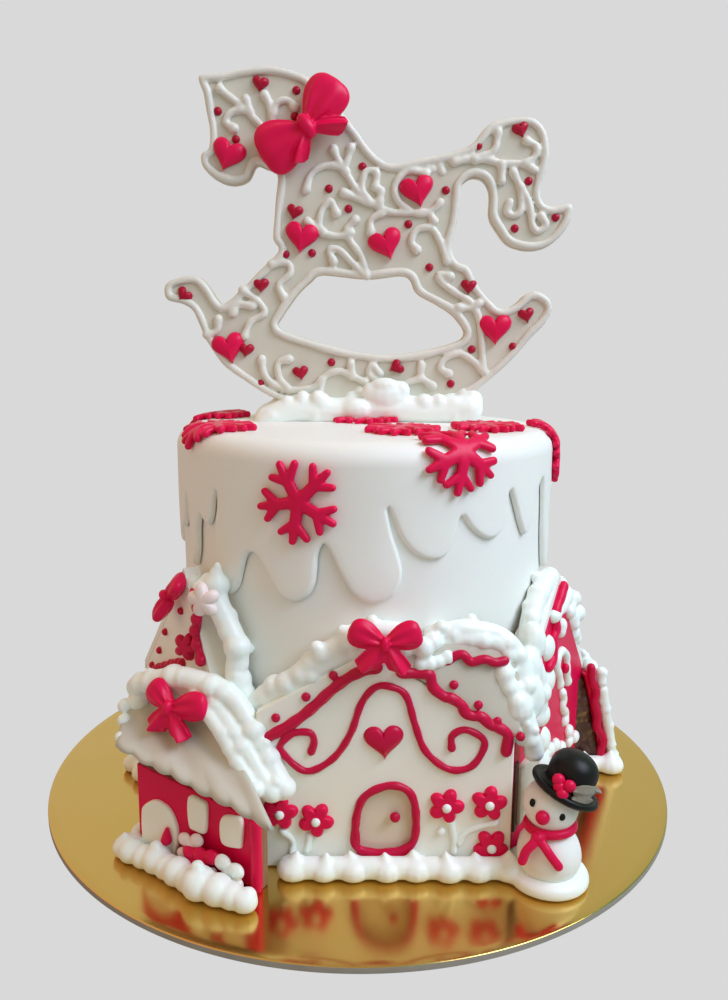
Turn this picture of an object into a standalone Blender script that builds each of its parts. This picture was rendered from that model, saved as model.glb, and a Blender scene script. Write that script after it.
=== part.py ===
"""A winter carousel cake: a white drip cake on a gold board, ringed by gingerbread houses,
with a rocking horse biscuit on top. Metres, +Z up, origin under the middle of the board."""

import math
import random

import bmesh
import bpy
import numpy as np
from mathutils import Matrix, Vector

MM = 0.001
GAP = 0.0003  # pieces that touch keep this clear
FLAT_ANGLE = math.radians(1.0)  # faces this near to one plane are one face after a Boolean

# Board and cake
BOARD_RADIUS = 0.150
BOARD_THICKNESS = 0.003
CAKE_X = 0.002  # the cake stands this far right of the board's middle
CAKE_RADIUS = 0.0862
DRIP_RADIUS = 0.0884
CAKE_TOP = 0.172  # top of the drip layer, above the board
DRIP_THICKNESS = DRIP_RADIUS - CAKE_RADIUS
SHOULDER = 0.009  # radius of the rounded top edge
# (turn in degrees from the front, height above the board) of each drip's tip and of each dip between
DRIP_EDGE = (
    (-64, 0.146), (-56, 0.121), (-48, 0.147), (-43.5, 0.136), (-40.5, 0.150), (-35, 0.106),
    (-29.4, 0.1273), (-16.8, 0.1097), (-7.5, 0.134), (3.0, 0.1100), (8.6, 0.148), (16.9, 0.1265),
    (26.3, 0.142), (34.5, 0.1318), (43.0, 0.151), (49.0, 0.1310), (56.0, 0.148), (67.0, 0.112),
    (76.0, 0.146),
)
HIDDEN_DRIPS = 12  # drips round the side that faces away, between the two ends above

# Snowflakes: (where it lies, turn, distance from the middle along the surface, spin, arms)
FLAKE_DIAMETER = 0.0355
FLAKE_THICKNESS = 0.0026
FLAKES = (
    ("edge", -110, 0.0805, 20, 6), ("edge", -58, 0.0750, 8, 6), ("flat", -170, 0.0035, 0, 6),
    ("flat", 19, 0.0485, 25, 6), ("edge", 25.4, 0.0885, -10, 6), ("flat", 61, 0.0620, 5, 6),
    ("edge", 83, 0.0935, 0, 6), ("side", -16.5, 0.1075, -9.4, 5), ("side", 165, 0.1080, 15, 5),
)

# Rocking horse biscuit, in mm: across from the cake's middle, and above the cake's top
HORSE_Y = 0.012
HORSE_THICKNESS = 0.0058
HORSE_OUTLINE = (
    (-77, 157), (-66, 158), (-48, 161), (-32, 158), (-16, 146), (-3, 131), (9, 120), (26, 122),
    (43, 126), (56, 137), (70, 141), (81, 135), (84, 122), (81, 109), (86, 101), (96, 102.5),
    (92, 89), (80, 82), (67, 84), (58.5, 95), (57, 108), (51, 114), (44.5, 109), (42.5, 95),
    (40.5, 81), (45, 74), (54, 64), (65, 54.5), (74, 59), (83, 62), (88.5, 54), (80, 42),
    (68, 28), (50, 13), (28, 5.5), (0, 4), (-28, 6), (-50, 14), (-67, 26), (-77, 39),
    (-83, 52), (-95, 57.5), (-96, 64), (-86, 68.5), (-76, 65), (-68.5, 56), (-57, 64.5), (-43, 79),
    (-44, 97), (-42, 113), (-50, 119), (-57, 111.5), (-67, 111), (-76.5, 118), (-73, 127), (-73.5, 141),
)
HORSE_HOLE = (
    (-22, 69.5), (-2, 67.7), (18.5, 69), (25, 60.5), (42, 50.5), (47, 41.5), (32, 35.3), (12, 32),
    (-8, 34), (-28, 39), (-42, 44.5), (-38, 53),
)
HORSE_SCROLLS = (
    ((-67.6, 151), (-58, 144), (-46, 132)),
    ((-47, 149), (-44.5, 141), (-43.5, 133)),
    ((-8, 126), (-10, 117), (-4, 107), (6, 100), (18, 97), (31, 96)),
    ((-28, 108), (-25, 116), (-15, 118.5), (-9, 114)),
    ((4, 109), (3, 116), (-3, 111), (0, 103)),
    ((27, 115.5), (16, 115), (14, 103), (24, 97.5)),
    ((-15, 97.5), (-20, 100), (-22, 91), (-10, 87.5), (-5, 92)),
    ((-8.5, 87), (-3, 78.5), (0, 69.5)),
    ((-16, 75), (-14, 81), (-6, 75)),
    ((24, 81), (23.5, 90), (34, 86), (38.5, 75)),
    ((39.6, 69.5), (35, 67), (49, 58), (54.5, 47), (56.7, 25)),
    ((42, 120), (57, 123), (60, 133)),
    ((56, 121.4), (72, 120), (77, 117)),
    ((68, 116), (72, 101), (66, 98)),
    ((72, 108), (77, 94), (83, 93)),
    ((-45, 74), (-36.5, 71), (-42, 64), (-39.5, 59)),
    ((-58, 61.5), (-49, 52), (-58, 41)),
    ((-50, 29.6), (-46, 19), (-30, 15.5), (-21, 20)),
    ((-22, 14), (-14, 24), (0, 19)),
    ((40, 23.5), (37, 30), (48, 32.5), (56.7, 24)),
)
HORSE_HEARTS = (
    (-64.3, 123.4, 20), (-30.5, 87.1, 8), (23.2, 108.2, -14), (8.8, 84.2, -20), (61.6, 45.5, -3),
    (-66, 35.6, -14),
)
HORSE_BEADS = (  # (across, up, radius) of the small red hearts and dots
    (-49, 154, 2.9), (70, 135, 2.9), (-33.8, 98, 2.9), (-87, 60, 3.2), (76, 51.7, 3.0),
    (15, 26.7, 2.9), (-31.5, 23.6, 2.9), (48.6, 64.8, 2.8), (-50, 64.6, 2.8), (-55, 33, 2.4),
    (-32.8, 151, 1.7), (-69, 142, 1.6), (-2.3, 118, 1.6), (-18, 108, 1.6), (-8.7, 99.4, 1.7),
    (51, 128, 1.6), (36.6, 108, 1.6), (75, 112.4, 1.6), (88, 96.3, 1.6), (69.4, 91, 1.6),
    (19.4, 92.7, 1.8), (29.7, 73.2, 1.7), (-38.3, 78.6, 1.8), (51, 35.2, 1.8), (70.6, 36.7, 1.6),
)
HORSE_HEART_SIZE = 0.0135
RIM_WIDTH = 0.0026
PIPING_HEIGHT = 0.0013
SCROLL_WIDTH = 0.0024

# Houses: turn of the front from the cake's front, its distance from the cake's middle and its
# shift along itself; the wall's ends, its eaves and its peak
WALL_THICKNESS = 0.005
ROOF_THICKNESS = 0.0035
ROOF_STEPS = 3
HOUSES = {
    "front": dict(turn=0, out=0.0937, shift=0.009, left=-0.051, right=0.051, eave=0.056,
                  peak_at=0.0, peak=0.088, rise=(0.002, 0.027), reach=(1.0, 1.07)),
    "left": dict(turn=-57, out=0.0958, shift=0.0, left=-0.047, right=0.045, eave=0.054,
                 peak_at=0.006, peak=0.110, rise=(0.003, 0.005), reach=(1.0, 0.92)),
    "right": dict(turn=60, out=0.0968, shift=0.0, left=-0.045, right=0.050, eave=0.053,
                  peak_at=0.006, peak=0.105, rise=(0.008, 0.003), reach=(0.95, 1.0)),
    "back_right": dict(turn=120, out=0.0958, shift=0.0, left=-0.047, right=0.047, eave=0.054,
                       peak_at=0.0, peak=0.094, rise=(0.003, 0.003), reach=(1.0, 1.0)),
    "back": dict(turn=180, out=0.0958, shift=0.0, left=-0.049, right=0.049, eave=0.056,
                 peak_at=0.0, peak=0.106, rise=(0.004, 0.004), reach=(1.0, 1.0)),
    "back_left": dict(turn=241, out=0.0958, shift=0.0, left=-0.047, right=0.047, eave=0.054,
                      peak_at=0.0, peak=0.092, rise=(0.003, 0.003), reach=(1.0, 1.0)),
}
CAKE_CLEAR = 0.0890  # roofs stop this far from the cake's middle
SNOW_RADIUS = 0.0056
SNOW_PITCH = 0.0160  # from one piped puff to the next
TRIM_WIDTH = 0.0034

# Front house's piping, in mm across from its middle and above the board
FRONT_SCROLL = ((0, 78.5), (8.5, 72.5), (12.5, 60), (18.5, 49), (29, 42.5), (40, 50), (34.5, 59),
                (27.5, 58), (27.5, 51.5))
FRONT_DOOR = (0.5, 8.0, 12.0, 35.5)  # middle, foot, half width, top
FRONT_FLOWERS = ((-41.9, 24.1), (-27.5, 21.1), (24.7, 27.5), (41.0, 28.8), (43.5, 11.4))
FLOWER_RADIUS = 0.0073
FLOWER_THICKNESS = 0.0022
FRONT_HEART = (-0.7, 55.9)
FRONT_HEART_SIZE = 0.0155

# Bows: width, height of the loops, length of the tails
HORSE_BOW = (0.050, 0.026, 0.0)
FRONT_BOW = (0.030, 0.016, 0.0105)
LEFT_BOW = (0.025, 0.015, 0.0100)
COTTAGE_BOW = (0.028, 0.015, 0.0125)

# Snow on the board at the foot of the walls
FOOT_HALF = 0.0055
FOOT_HEIGHT = 0.0060
FOOT_PITCH = 0.024

# Small house on the front left, and its twin on the right
COTTAGE = dict(turn=-26.8, out=0.1144, shift=-0.0159, half=0.0304, wall=(0.038, 0.0285))
COTTAGE_ROOF = ((-0.036, -0.006, 0.0455), (0.0405, -0.006, 0.0320), (-0.014, 0.0245, 0.066),
                (-0.050, 0.019, 0.0575))  # eave left, eave right, ridge right, ridge left
COTTAGE_FLOWERS = ((-0.002, 0.0105), (0.0165, 0.0085))
SHED = dict(turn=96, out=0.1245, shift=0.0067, half=0.0275, wall=0.049, lean=0.012, depth=0.0145)

# Snowman
SNOWMAN = (0.0762, -0.0995)
PUDDLE_RADIUS = 0.0155  # the icing that the snowman stands in
PUDDLE_HEIGHT = 0.0045
HAT_TILT = 22  # degrees, down to its left

RED = (0.62, 0.004, 0.045, 1.0)
WHITE = (0.86, 0.86, 0.83, 1.0)
CREAM = (0.72, 0.70, 0.62, 1.0)
BISCUIT = (0.34, 0.19, 0.10, 1.0)


def material(name, colour, roughness=0.45, metallic=0.0):
    made = bpy.data.materials.new(name)
    made.use_nodes = True
    shader = made.node_tree.nodes["Principled BSDF"]
    shader.inputs["Base Color"].default_value = colour
    shader.inputs["Roughness"].default_value = roughness
    shader.inputs["Metallic"].default_value = metallic
    return made


def clear_scene():
    for found in list(bpy.data.objects):
        bpy.data.objects.remove(found)


def add(name, mesh, finish=None, parent=None):
    """A mesh as an object in the scene, under the empty that carries it."""
    made = bpy.data.objects.new(name, mesh)
    bpy.context.scene.collection.objects.link(made)
    if finish:
        mesh.materials.clear()
        mesh.materials.append(finish)
    made.parent = parent
    return made


def empty(name, location, turn=0.0):
    made = bpy.data.objects.new(name, None)
    made.location = location
    made.rotation_euler = (0, 0, math.radians(turn))
    bpy.context.scene.collection.objects.link(made)
    return made


def finished(bm, name="mesh"):
    bmesh.ops.recalc_face_normals(bm, faces=bm.faces)
    mesh = bpy.data.meshes.new(name)
    bm.to_mesh(mesh)
    bm.free()
    return mesh


def smooth(points, steps, closed=False):
    """A Catmull-Rom curve through the points, with this many steps between two of them."""
    p = np.asarray(points, float)
    n = len(p)
    found = []
    for i in range(n if closed else n - 1):
        if closed:
            a, b, c, d = p[i - 1], p[i], p[(i + 1) % n], p[(i + 2) % n]
        else:
            a, b, c, d = p[max(i - 1, 0)], p[i], p[i + 1], p[min(i + 2, n - 1)]
        for t in np.arange(steps) / steps:
            found.append(
                0.5 * (2 * b + (c - a) * t + (2 * a - 5 * b + 4 * c - d) * t**2
                       + (3 * b - a - 3 * c + d) * t**3)
            )
    if not closed:
        found.append(p[-1])
    return np.array(found)


def spaced(points, pitch):
    """The same path with its points this far apart."""
    p = np.asarray(points, float)
    along = np.concatenate([[0], np.cumsum(np.linalg.norm(np.diff(p, axis=0), axis=1))])
    count = max(int(round(along[-1] / pitch)), 1) + 1
    at = np.linspace(0, along[-1], count)
    return np.stack([np.interp(at, along, p[:, k]) for k in range(p.shape[1])], axis=1)


def simplified(loop, tolerance):
    """A closed loop without the points that lie this near the line between their neighbours."""
    kept = [np.asarray(p) for p in loop]
    i = 0
    while i < len(kept):
        before, here, after = kept[i - 1], kept[i], kept[(i + 1) % len(kept)]
        ahead = (after - before) / np.linalg.norm(after - before)
        off = abs(ahead[0] * (here - before)[1] - ahead[1] * (here - before)[0])
        if off < tolerance:
            del kept[i]
        else:
            i += 1
    return np.array(kept)


def offset_loop(loop, by):
    """The closed loop moved by a distance to the right of its run: inward where it runs clockwise."""
    ahead = np.roll(loop, -1, axis=0) - np.roll(loop, 1, axis=0)
    ahead /= np.linalg.norm(ahead, axis=1)[:, None]
    side = np.stack([ahead[:, 1], -ahead[:, 0]], axis=1)
    return loop + side * by


def tube(points, radii, sides=6):
    """A round bar along the points, its ends closed flat."""
    points = np.asarray(points, float)
    ahead = np.gradient(points, axis=0)
    ahead /= np.linalg.norm(ahead, axis=1)[:, None]
    across = np.cross(ahead, (0.0, 0.0, 1.0))
    flat = np.linalg.norm(across, axis=1) < 0.1
    across[flat] = np.cross(ahead[flat], (0.0, 1.0, 0.0))
    across /= np.linalg.norm(across, axis=1)[:, None]
    up = np.cross(across, ahead)
    turns = 2 * np.pi * np.arange(sides) / sides
    rings = []
    for place_, a, u, radius in zip(points, across, up, np.broadcast_to(radii, len(points))):
        rings.append([place_ + radius * (math.cos(t) * a + math.sin(t) * u) for t in turns])
    return loft(rings)


def ridge(path, width, height, closed=False, sunk=0.0005):
    """A three-sided piped line on a face that looks to -Y, along points across and up."""
    path = np.asarray(path, float)
    if closed:
        ahead = np.roll(path, -1, axis=0) - np.roll(path, 1, axis=0)
    else:
        ahead = np.gradient(path, axis=0)
    ahead /= np.linalg.norm(ahead, axis=1)[:, None]
    side = np.stack([ahead[:, 1], -ahead[:, 0]], axis=1) * width / 2
    rings = []
    for (x, z), (dx, dz) in zip(path, side):
        rings.append([(x - dx, sunk, z - dz), (x + dx, sunk, z + dz), (x, -height, z)])
    return loft(rings, closed)


def ball(centre, radii, subdivisions=1):
    bm = bmesh.new()
    bmesh.ops.create_icosphere(bm, subdivisions=subdivisions, radius=1.0)
    bm.transform(Matrix.Translation(centre) @ Matrix.Diagonal((*radii, 1.0)))
    return finished(bm)


def bead(x, z, radius, height=0.0017):
    """A low six-sided button on a face that looks to -Y."""
    rings = []
    for part, out in ((1.0, 0.0005), (0.6, -height)):
        rings.append([(x + radius * part * math.cos(t), out, z + radius * part * math.sin(t))
                      for t in np.arange(6) * math.pi / 3])
    return loft(rings)


def slab(outline, thickness, holes=(), taper=0.0):
    """An outline across and up, filled and carried back along +Y; taper draws in the front."""
    bm = bmesh.new()
    edges = []
    for loop in (outline, *holes):
        made = [bm.verts.new((x, 0.0, z)) for x, z in loop]
        edges += [bm.edges.new((made[i - 1], made[i])) for i in range(len(made))]
    bmesh.ops.triangle_fill(bm, edges=edges, use_beauty=True)
    front = list(bm.verts)
    carried = bmesh.ops.extrude_face_region(bm, geom=list(bm.faces), use_keep_orig=True)
    for vert in (v for v in carried["geom"] if isinstance(v, bmesh.types.BMVert)):
        vert.co.y += thickness
    if taper:
        middle = sum((v.co for v in front), Vector()) / len(front)
        for vert in front:
            vert.co.x += (middle.x - vert.co.x) * taper
            vert.co.z += (middle.z - vert.co.z) * taper
    return finished(bm)


def loft(rings, closed=False):
    """A closed skin over rings of equally many points: capped at both ends, or joined end to end."""
    bm = bmesh.new()
    made = [[bm.verts.new(p) for p in ring] for ring in rings]
    pairs = list(zip(made, made[1:]))
    if closed:
        pairs.append((made[-1], made[0]))
    for low, high in pairs:
        for i in range(len(low)):
            j = (i + 1) % len(low)
            bm.faces.new((low[i], low[j], high[j], high[i]))
    if not closed:
        bm.faces.new(made[0])
        bm.faces.new(made[-1])
    bmesh.ops.triangulate(bm, faces=bm.faces)
    return finished(bm)


def turned(profile, columns, centre=(0.0, 0.0)):
    """A profile of (radius, height) turned about a vertical line; it starts and ends on that line."""
    bm = bmesh.new()
    rings = []
    for radius, height in profile:
        count = columns if radius else 1
        turns = [2 * math.pi * i / count for i in range(count)]
        rings.append(
            [bm.verts.new((centre[0] + radius * math.cos(t), centre[1] + radius * math.sin(t), height))
             for t in turns]
        )
    for low, high in zip(rings, rings[1:]):
        for i in range(columns):
            j = (i + 1) % columns
            corners = [low[i % len(low)], low[j % len(low)], high[j % len(high)], high[i % len(high)]]
            bm.faces.new(list(dict.fromkeys(corners)))
    return finished(bm)


def box(low, high):
    bm = bmesh.new()
    bmesh.ops.create_cube(bm, size=1.0)
    size = Vector(high) - Vector(low)
    middle = (Vector(high) + Vector(low)) / 2
    bm.transform(Matrix.Translation(middle) @ Matrix.Diagonal((*size, 1.0)))
    return finished(bm)


def apply_modifiers(target):
    bpy.context.view_layer.update()
    graph = bpy.context.evaluated_depsgraph_get()
    mesh = bpy.data.meshes.new_from_object(target.evaluated_get(graph))
    target.modifiers.clear()
    target.data = mesh


def join_all(target, meshes):
    """One Boolean union of the target with every mesh, given in the target's own space."""
    bpy.context.view_layer.update()
    group = bpy.data.collections.new("joined")
    bpy.context.scene.collection.children.link(group)
    for mesh in meshes:
        piece = bpy.data.objects.new("piece", mesh)
        piece.matrix_world = target.matrix_world
        group.objects.link(piece)
    modifier = target.modifiers.new("union", "BOOLEAN")
    modifier.operation = "UNION"
    modifier.operand_type = "COLLECTION"
    modifier.collection = group
    modifier.solver = "MANIFOLD"
    apply_modifiers(target)
    for piece in list(group.objects):
        bpy.data.objects.remove(piece)
    bpy.data.collections.remove(group)
    keep_largest(target.data)
    return target


def cut_by(target, rooms):
    """Cuts closed meshes, given in world space, out of a piece."""
    for mesh in rooms:
        cutter = bpy.data.objects.new("cutter", mesh)
        bpy.context.scene.collection.objects.link(cutter)
        modifier = target.modifiers.new("cut", "BOOLEAN")
        modifier.operation = "DIFFERENCE"
        modifier.object = cutter
        modifier.solver = "MANIFOLD"
        apply_modifiers(target)
        bpy.data.objects.remove(cutter)
    keep_largest(target.data)
    return target


def without_flat_edges(mesh):
    """The mesh without the edges that lie inside a flat face, or as it was where that would open it."""
    bm = bmesh.new()
    bm.from_mesh(mesh)
    bmesh.ops.dissolve_limit(bm, angle_limit=FLAT_ANGLE, verts=bm.verts, edges=bm.edges)
    bmesh.ops.triangulate(bm, faces=bm.faces)
    if any(len(edge.link_faces) != 2 for edge in bm.edges):
        bm.clear()
        bm.from_mesh(mesh)
    return bm


def keep_largest(mesh):
    """Drops the loose scraps that a cut leaves."""
    bm = without_flat_edges(mesh)
    left = set(bm.faces)
    bodies = []
    while left:
        front = [left.pop()]
        body = set(front)
        while front:
            for edge in front.pop().edges:
                near = [face for face in edge.link_faces if face in left]
                left.difference_update(near)
                body.update(near)
                front += near
        bodies.append(body)
    bodies.sort(key=lambda faces: sum(face.calc_area() for face in faces))
    for body in bodies[:-1]:
        bmesh.ops.delete(bm, geom=list(body), context="FACES")
    bm.to_mesh(mesh)
    bm.free()


def room(piece, by=2 * GAP):
    """A copy of a piece's mesh in world space, its points moved out along their normals."""
    bpy.context.view_layer.update()
    bm = bmesh.new()
    bm.from_mesh(piece.data)
    bm.transform(piece.matrix_world)
    bm.normal_update()
    moves = [(vert, vert.normal * by) for vert in bm.verts]
    for vert, move in moves:
        vert.co += move
    return finished(bm)


def meets(piece, mesh):
    """Whether a piece's box meets that of a mesh in world space, so that a cut is worth making."""
    bpy.context.view_layer.update()
    ends = []
    for corners in ([piece.matrix_world @ vert.co for vert in piece.data.vertices],
                    [vert.co for vert in mesh.vertices]):
        corners = np.array(corners)
        ends.append((corners.min(axis=0), corners.max(axis=0)))
    (low_a, high_a), (low_b, high_b) = ends
    return bool(np.all(low_a < high_b) and np.all(low_b < high_a))


def puffs(points, radius, seed, pitch=SNOW_PITCH, sides=6):
    """A rope of piped icing along the points: every second ring is drawn in, each a little at random."""
    path = spaced(points, pitch / 2)
    draw = random.Random(seed)
    radii = [radius * (1.12 if i % 2 else 0.86) * draw.uniform(0.92, 1.08) for i in range(len(path))]
    return tube(path, radii, sides)


# ---- Board and cake


def make_board(parent, gold):
    top = -GAP  # what stands on the board starts at the carrying empty's zero height
    low = top - BOARD_THICKNESS
    profile = ((0, low), (BOARD_RADIUS, low), (BOARD_RADIUS, top), (0, top))
    return add("board", turned(profile, 56), gold, parent)


def shoulder_profile(radius, top, bend, steps=2):
    """(radius, height) down a rounded top edge, from the flat top to the upright side."""
    turns = [math.pi / 2 * i / steps for i in range(steps + 1)]
    return [(radius - bend + bend * math.sin(t), top - bend + bend * math.cos(t)) for t in turns]


def make_cake(parent, fondant):
    bend = SHOULDER - DRIP_THICKNESS - GAP
    edge = shoulder_profile(CAKE_RADIUS - GAP, CAKE_TOP - DRIP_THICKNESS - GAP, bend, 1)
    profile = [(0, 0), (CAKE_RADIUS - GAP, 0), *reversed(edge), (0, edge[0][1])]
    return add("cake_body", turned(profile, 48, (CAKE_X, 0)), fondant, parent)


def drip_edges():
    """The marks of DRIP_EDGE, carried round the hidden side by drips of seeded size."""
    draw = random.Random(5)
    marks = list(DRIP_EDGE)
    start = DRIP_EDGE[-1][0]
    step = (360 + DRIP_EDGE[0][0] - start) / HIDDEN_DRIPS
    for i in range(HIDDEN_DRIPS):
        middle = start + (i + 0.5) * step + draw.uniform(-2, 2)
        marks.append((middle, draw.uniform(0.110, 0.134)))
        if i < HIDDEN_DRIPS - 1:
            marks.append((start + (i + 1) * step, draw.uniform(0.140, 0.150)))
    return marks


def drip_columns(marks):
    """Turn and lower edge of each column: one in every dip, and three across every broad, round tip."""
    columns = []
    count = len(marks)
    for i, (turn, height) in enumerate(marks):
        before, after = marks[i - 1], marks[(i + 1) % count]
        if height > after[1]:
            columns.append((turn, height))
            continue
        left = (turn - before[0]) % 360
        right = (after[0] - turn) % 360
        columns.append((turn - 0.58 * left, height + 0.16 * (before[1] - height)))
        columns.append((turn, height))
        columns.append((turn + 0.58 * right, height + 0.16 * (after[1] - height)))
    return columns


def make_drip(parent, fondant):
    """The poured layer: out from the top's middle, down to the wavy edge, and back up inside."""
    bm = bmesh.new()
    outer = shoulder_profile(DRIP_RADIUS, CAKE_TOP, SHOULDER)
    inner = shoulder_profile(CAKE_RADIUS, CAKE_TOP - DRIP_THICKNESS, SHOULDER - DRIP_THICKNESS, 1)
    columns = []
    for turn, edge in drip_columns(drip_edges()):
        side = (math.sin(math.radians(turn)), -math.cos(math.radians(turn)))
        down = [*outer, (DRIP_RADIUS - 0.0003, edge + 0.0014), (DRIP_RADIUS - 0.0012, edge),
                (CAKE_RADIUS, edge), *reversed(inner)]
        columns.append([bm.verts.new((CAKE_X + r * side[0], r * side[1], h)) for r, h in down])
    for i, low in enumerate(columns):
        high = columns[(i + 1) % len(columns)]
        for k in range(len(low) - 1):
            bm.faces.new((low[k], high[k], high[k + 1], low[k + 1]))
    bm.faces.new([column[0] for column in columns])
    bm.faces.new([column[-1] for column in columns])
    bmesh.ops.triangulate(bm, faces=bm.faces)
    return add("drip_icing", finished(bm), fondant, parent)


# ---- Snowflakes


def flake_outline(radius, arms):
    """Equal arms, the first straight outward, each with a finger on both hands and a blunt tip between them."""
    half_arm = ((0.47, 0.13), (0.75, 0.385), (0.86, 0.29), (0.72, 0.11), (1.00, 0.09))
    arm = [(along, -aside) for along, aside in half_arm]
    arm += [(along, aside) for along, aside in reversed(half_arm)]
    valley, half_turn = 0.27, math.pi / arms
    points = []
    for i in range(arms):
        turn = math.pi / 2 + 2 * half_turn * i
        for along, aside in [(valley * math.cos(half_turn), -valley * math.sin(half_turn)), *arm]:
            points.append((
                radius * (along * math.cos(turn) - aside * math.sin(turn)),
                radius * (along * math.sin(turn) + aside * math.cos(turn)),
            ))
    return points


def surface_point(way, run, lift):
    """The place at this turn and distance along the surface from the top's middle, lifted off it."""
    flat = DRIP_RADIUS - SHOULDER
    arc = SHOULDER * math.pi / 2
    if run <= flat:
        radius, height = run, CAKE_TOP + lift
    elif run <= flat + arc:
        bend = (run - flat) / SHOULDER
        radius = flat + (SHOULDER + lift) * math.sin(bend)
        height = CAKE_TOP - SHOULDER + (SHOULDER + lift) * math.cos(bend)
    else:
        radius, height = DRIP_RADIUS + lift, CAKE_TOP - SHOULDER - (run - flat - arc)
    return Vector((CAKE_X + radius * math.sin(way), -radius * math.cos(way), height))


def make_flake(name, kind, turn, run, spin, arms, parent, finish):
    """A flat flake, cut across where the surface bends and then laid on the top, the edge or the side."""
    mesh = slab(flake_outline(FLAKE_DIAMETER / 2, arms), FLAKE_THICKNESS)
    mesh.transform(Matrix.Rotation(math.radians(spin), 4, "Y"))
    bm = bmesh.new()
    bm.from_mesh(mesh)
    if kind == "edge":
        for part in (0, 0.5, 1.0):
            cut = DRIP_RADIUS - SHOULDER + part * SHOULDER * math.pi / 2 - run
            geometry = list(bm.verts) + list(bm.edges) + list(bm.faces)
            bmesh.ops.bisect_plane(bm, geom=geometry, plane_co=(0, 0, cut), plane_no=(0, 0, 1))
    way = math.radians(turn)
    for vert in bm.verts:
        aside, lift, out = vert.co.x, GAP + FLAKE_THICKNESS - vert.co.y, vert.co.z
        if kind == "flat":
            tangent = Vector((math.cos(way), math.sin(way), 0))
            outward = Vector((math.sin(way), -math.cos(way), 0))
            vert.co = surface_point(way, run, lift) + tangent * aside + outward * out
        elif kind == "edge":
            vert.co = surface_point(way + aside / min(run + out, DRIP_RADIUS), run + out, lift)
        else:
            vert.co = surface_point(way + aside / DRIP_RADIUS, run + out, lift)
    bmesh.ops.triangulate(bm, faces=bm.faces)
    return add(name, finished(bm), finish, parent)


def make_flakes(parent, red):
    made = [make_flake(f"snowflake_{i + 1}", *spec, parent, red) for i, spec in enumerate(FLAKES)]
    for i, piece in enumerate(made):
        cut_by(piece, [room(other) for other in made[:i] if meets(piece, room(other))])
    return made


# ---- Shapes that repeat


def heart_outline(size, points=14):
    found = []
    for i in range(points):
        t = 2 * math.pi * i / points
        x = 16 * math.sin(t) ** 3
        z = 13 * math.cos(t) - 5 * math.cos(2 * t) - 2 * math.cos(3 * t) - math.cos(4 * t)
        found.append((x * size / 32, z * size / 32))
    return found


def flower_outline(radius):
    """Five petals of three points each, with one point drawn in between two petals."""
    found = []
    for i in range(20):
        t = 2 * math.pi * i / 20
        reach = radius * (0.56, 0.92, 1.0, 0.92)[i % 4]
        found.append((reach * math.sin(t), reach * math.cos(t)))
    return found


def place(mesh, x=0.0, y=0.0, z=0.0, roll=0.0):
    """Rolls a piece in its own plane and moves it."""
    mesh.transform(Matrix.Translation((x, y, z)) @ Matrix.Rotation(math.radians(roll), 4, "Y"))
    return mesh


def bow_pieces(width, height, tail):
    """Two loops drawn in at the knot, two tails under it if they have a length, and the knot."""
    deep = 0.30 * width
    pieces = [ball((0, -0.55 * deep, 0), (0.11 * width, 0.45 * deep, 0.22 * height))]
    for side in (-1, 1):
        rings = []
        for part, tall, thick in ((0.05, 0.16, 0.4), (0.45, 0.38, 0.8), (0.85, 0.50, 0.8),
                                  (1.0, 0.24, 0.4)):
            ring = []
            for i in range(6):
                t = 2 * math.pi * i / 6
                ring.append((side * part * width / 2, -deep / 2 + thick * deep / 2 * math.sin(t),
                             (0.10 * part + tall * math.cos(t)) * height))
            rings.append(ring)
        pieces.append(loft(rings))
        if tail:
            ends = []
            for drop, reach, half in ((0.0, 0.05, 0.06), (1.0, 0.27, 0.14)):
                middle = side * reach * width
                ends.append([(middle - half * width, -0.55 * deep, -drop * tail),
                             (middle + half * width, -0.55 * deep, -drop * tail),
                             (middle + half * width, -0.15 * deep, -drop * tail),
                             (middle - half * width, -0.15 * deep, -drop * tail)])
            pieces.append(loft(ends))
    return pieces


def make_bow(name, size, at, roll, parent, red):
    """A bow whose back lies in the plane at at[1], in its parent's space."""
    pieces = [place(mesh, *at, roll) for mesh in bow_pieces(*size)]
    return join_all(add(name, pieces[0], red, parent), pieces[1:])


# ---- Rocking horse


def make_horse(parent, biscuit, red):
    """The biscuit with its piped rims, scrolls and beads, the hearts on it and its bow."""
    carrier = empty("horse", (CAKE_X, HORSE_Y - HORSE_THICKNESS / 2, CAKE_TOP))
    carrier.parent = parent
    cookie = add("horse_cookie", horse_plate(), biscuit, carrier)
    pieces = []
    for scroll in HORSE_SCROLLS:
        path = smooth(scroll, 2) * MM
        pieces.append(ridge(path, SCROLL_WIDTH, PIPING_HEIGHT * 0.9))
    for x, z, radius in HORSE_BEADS:
        pieces.append(bead(x * MM, z * MM, radius * MM))
    join_all(cookie, pieces)
    for i, (x, z, roll) in enumerate(HORSE_HEARTS):
        mesh = slab(heart_outline(HORSE_HEART_SIZE), 0.0030, taper=0.15)
        place(mesh, x * MM, -0.0030 - PIPING_HEIGHT * 1.2 - GAP, z * MM, roll)
        add(f"horse_heart_{i + 1}", mesh, red, carrier)
    make_bow("horse_bow", HORSE_BOW, (-0.027, -0.0023, 0.133), -36, carrier, red)
    return cookie


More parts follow.
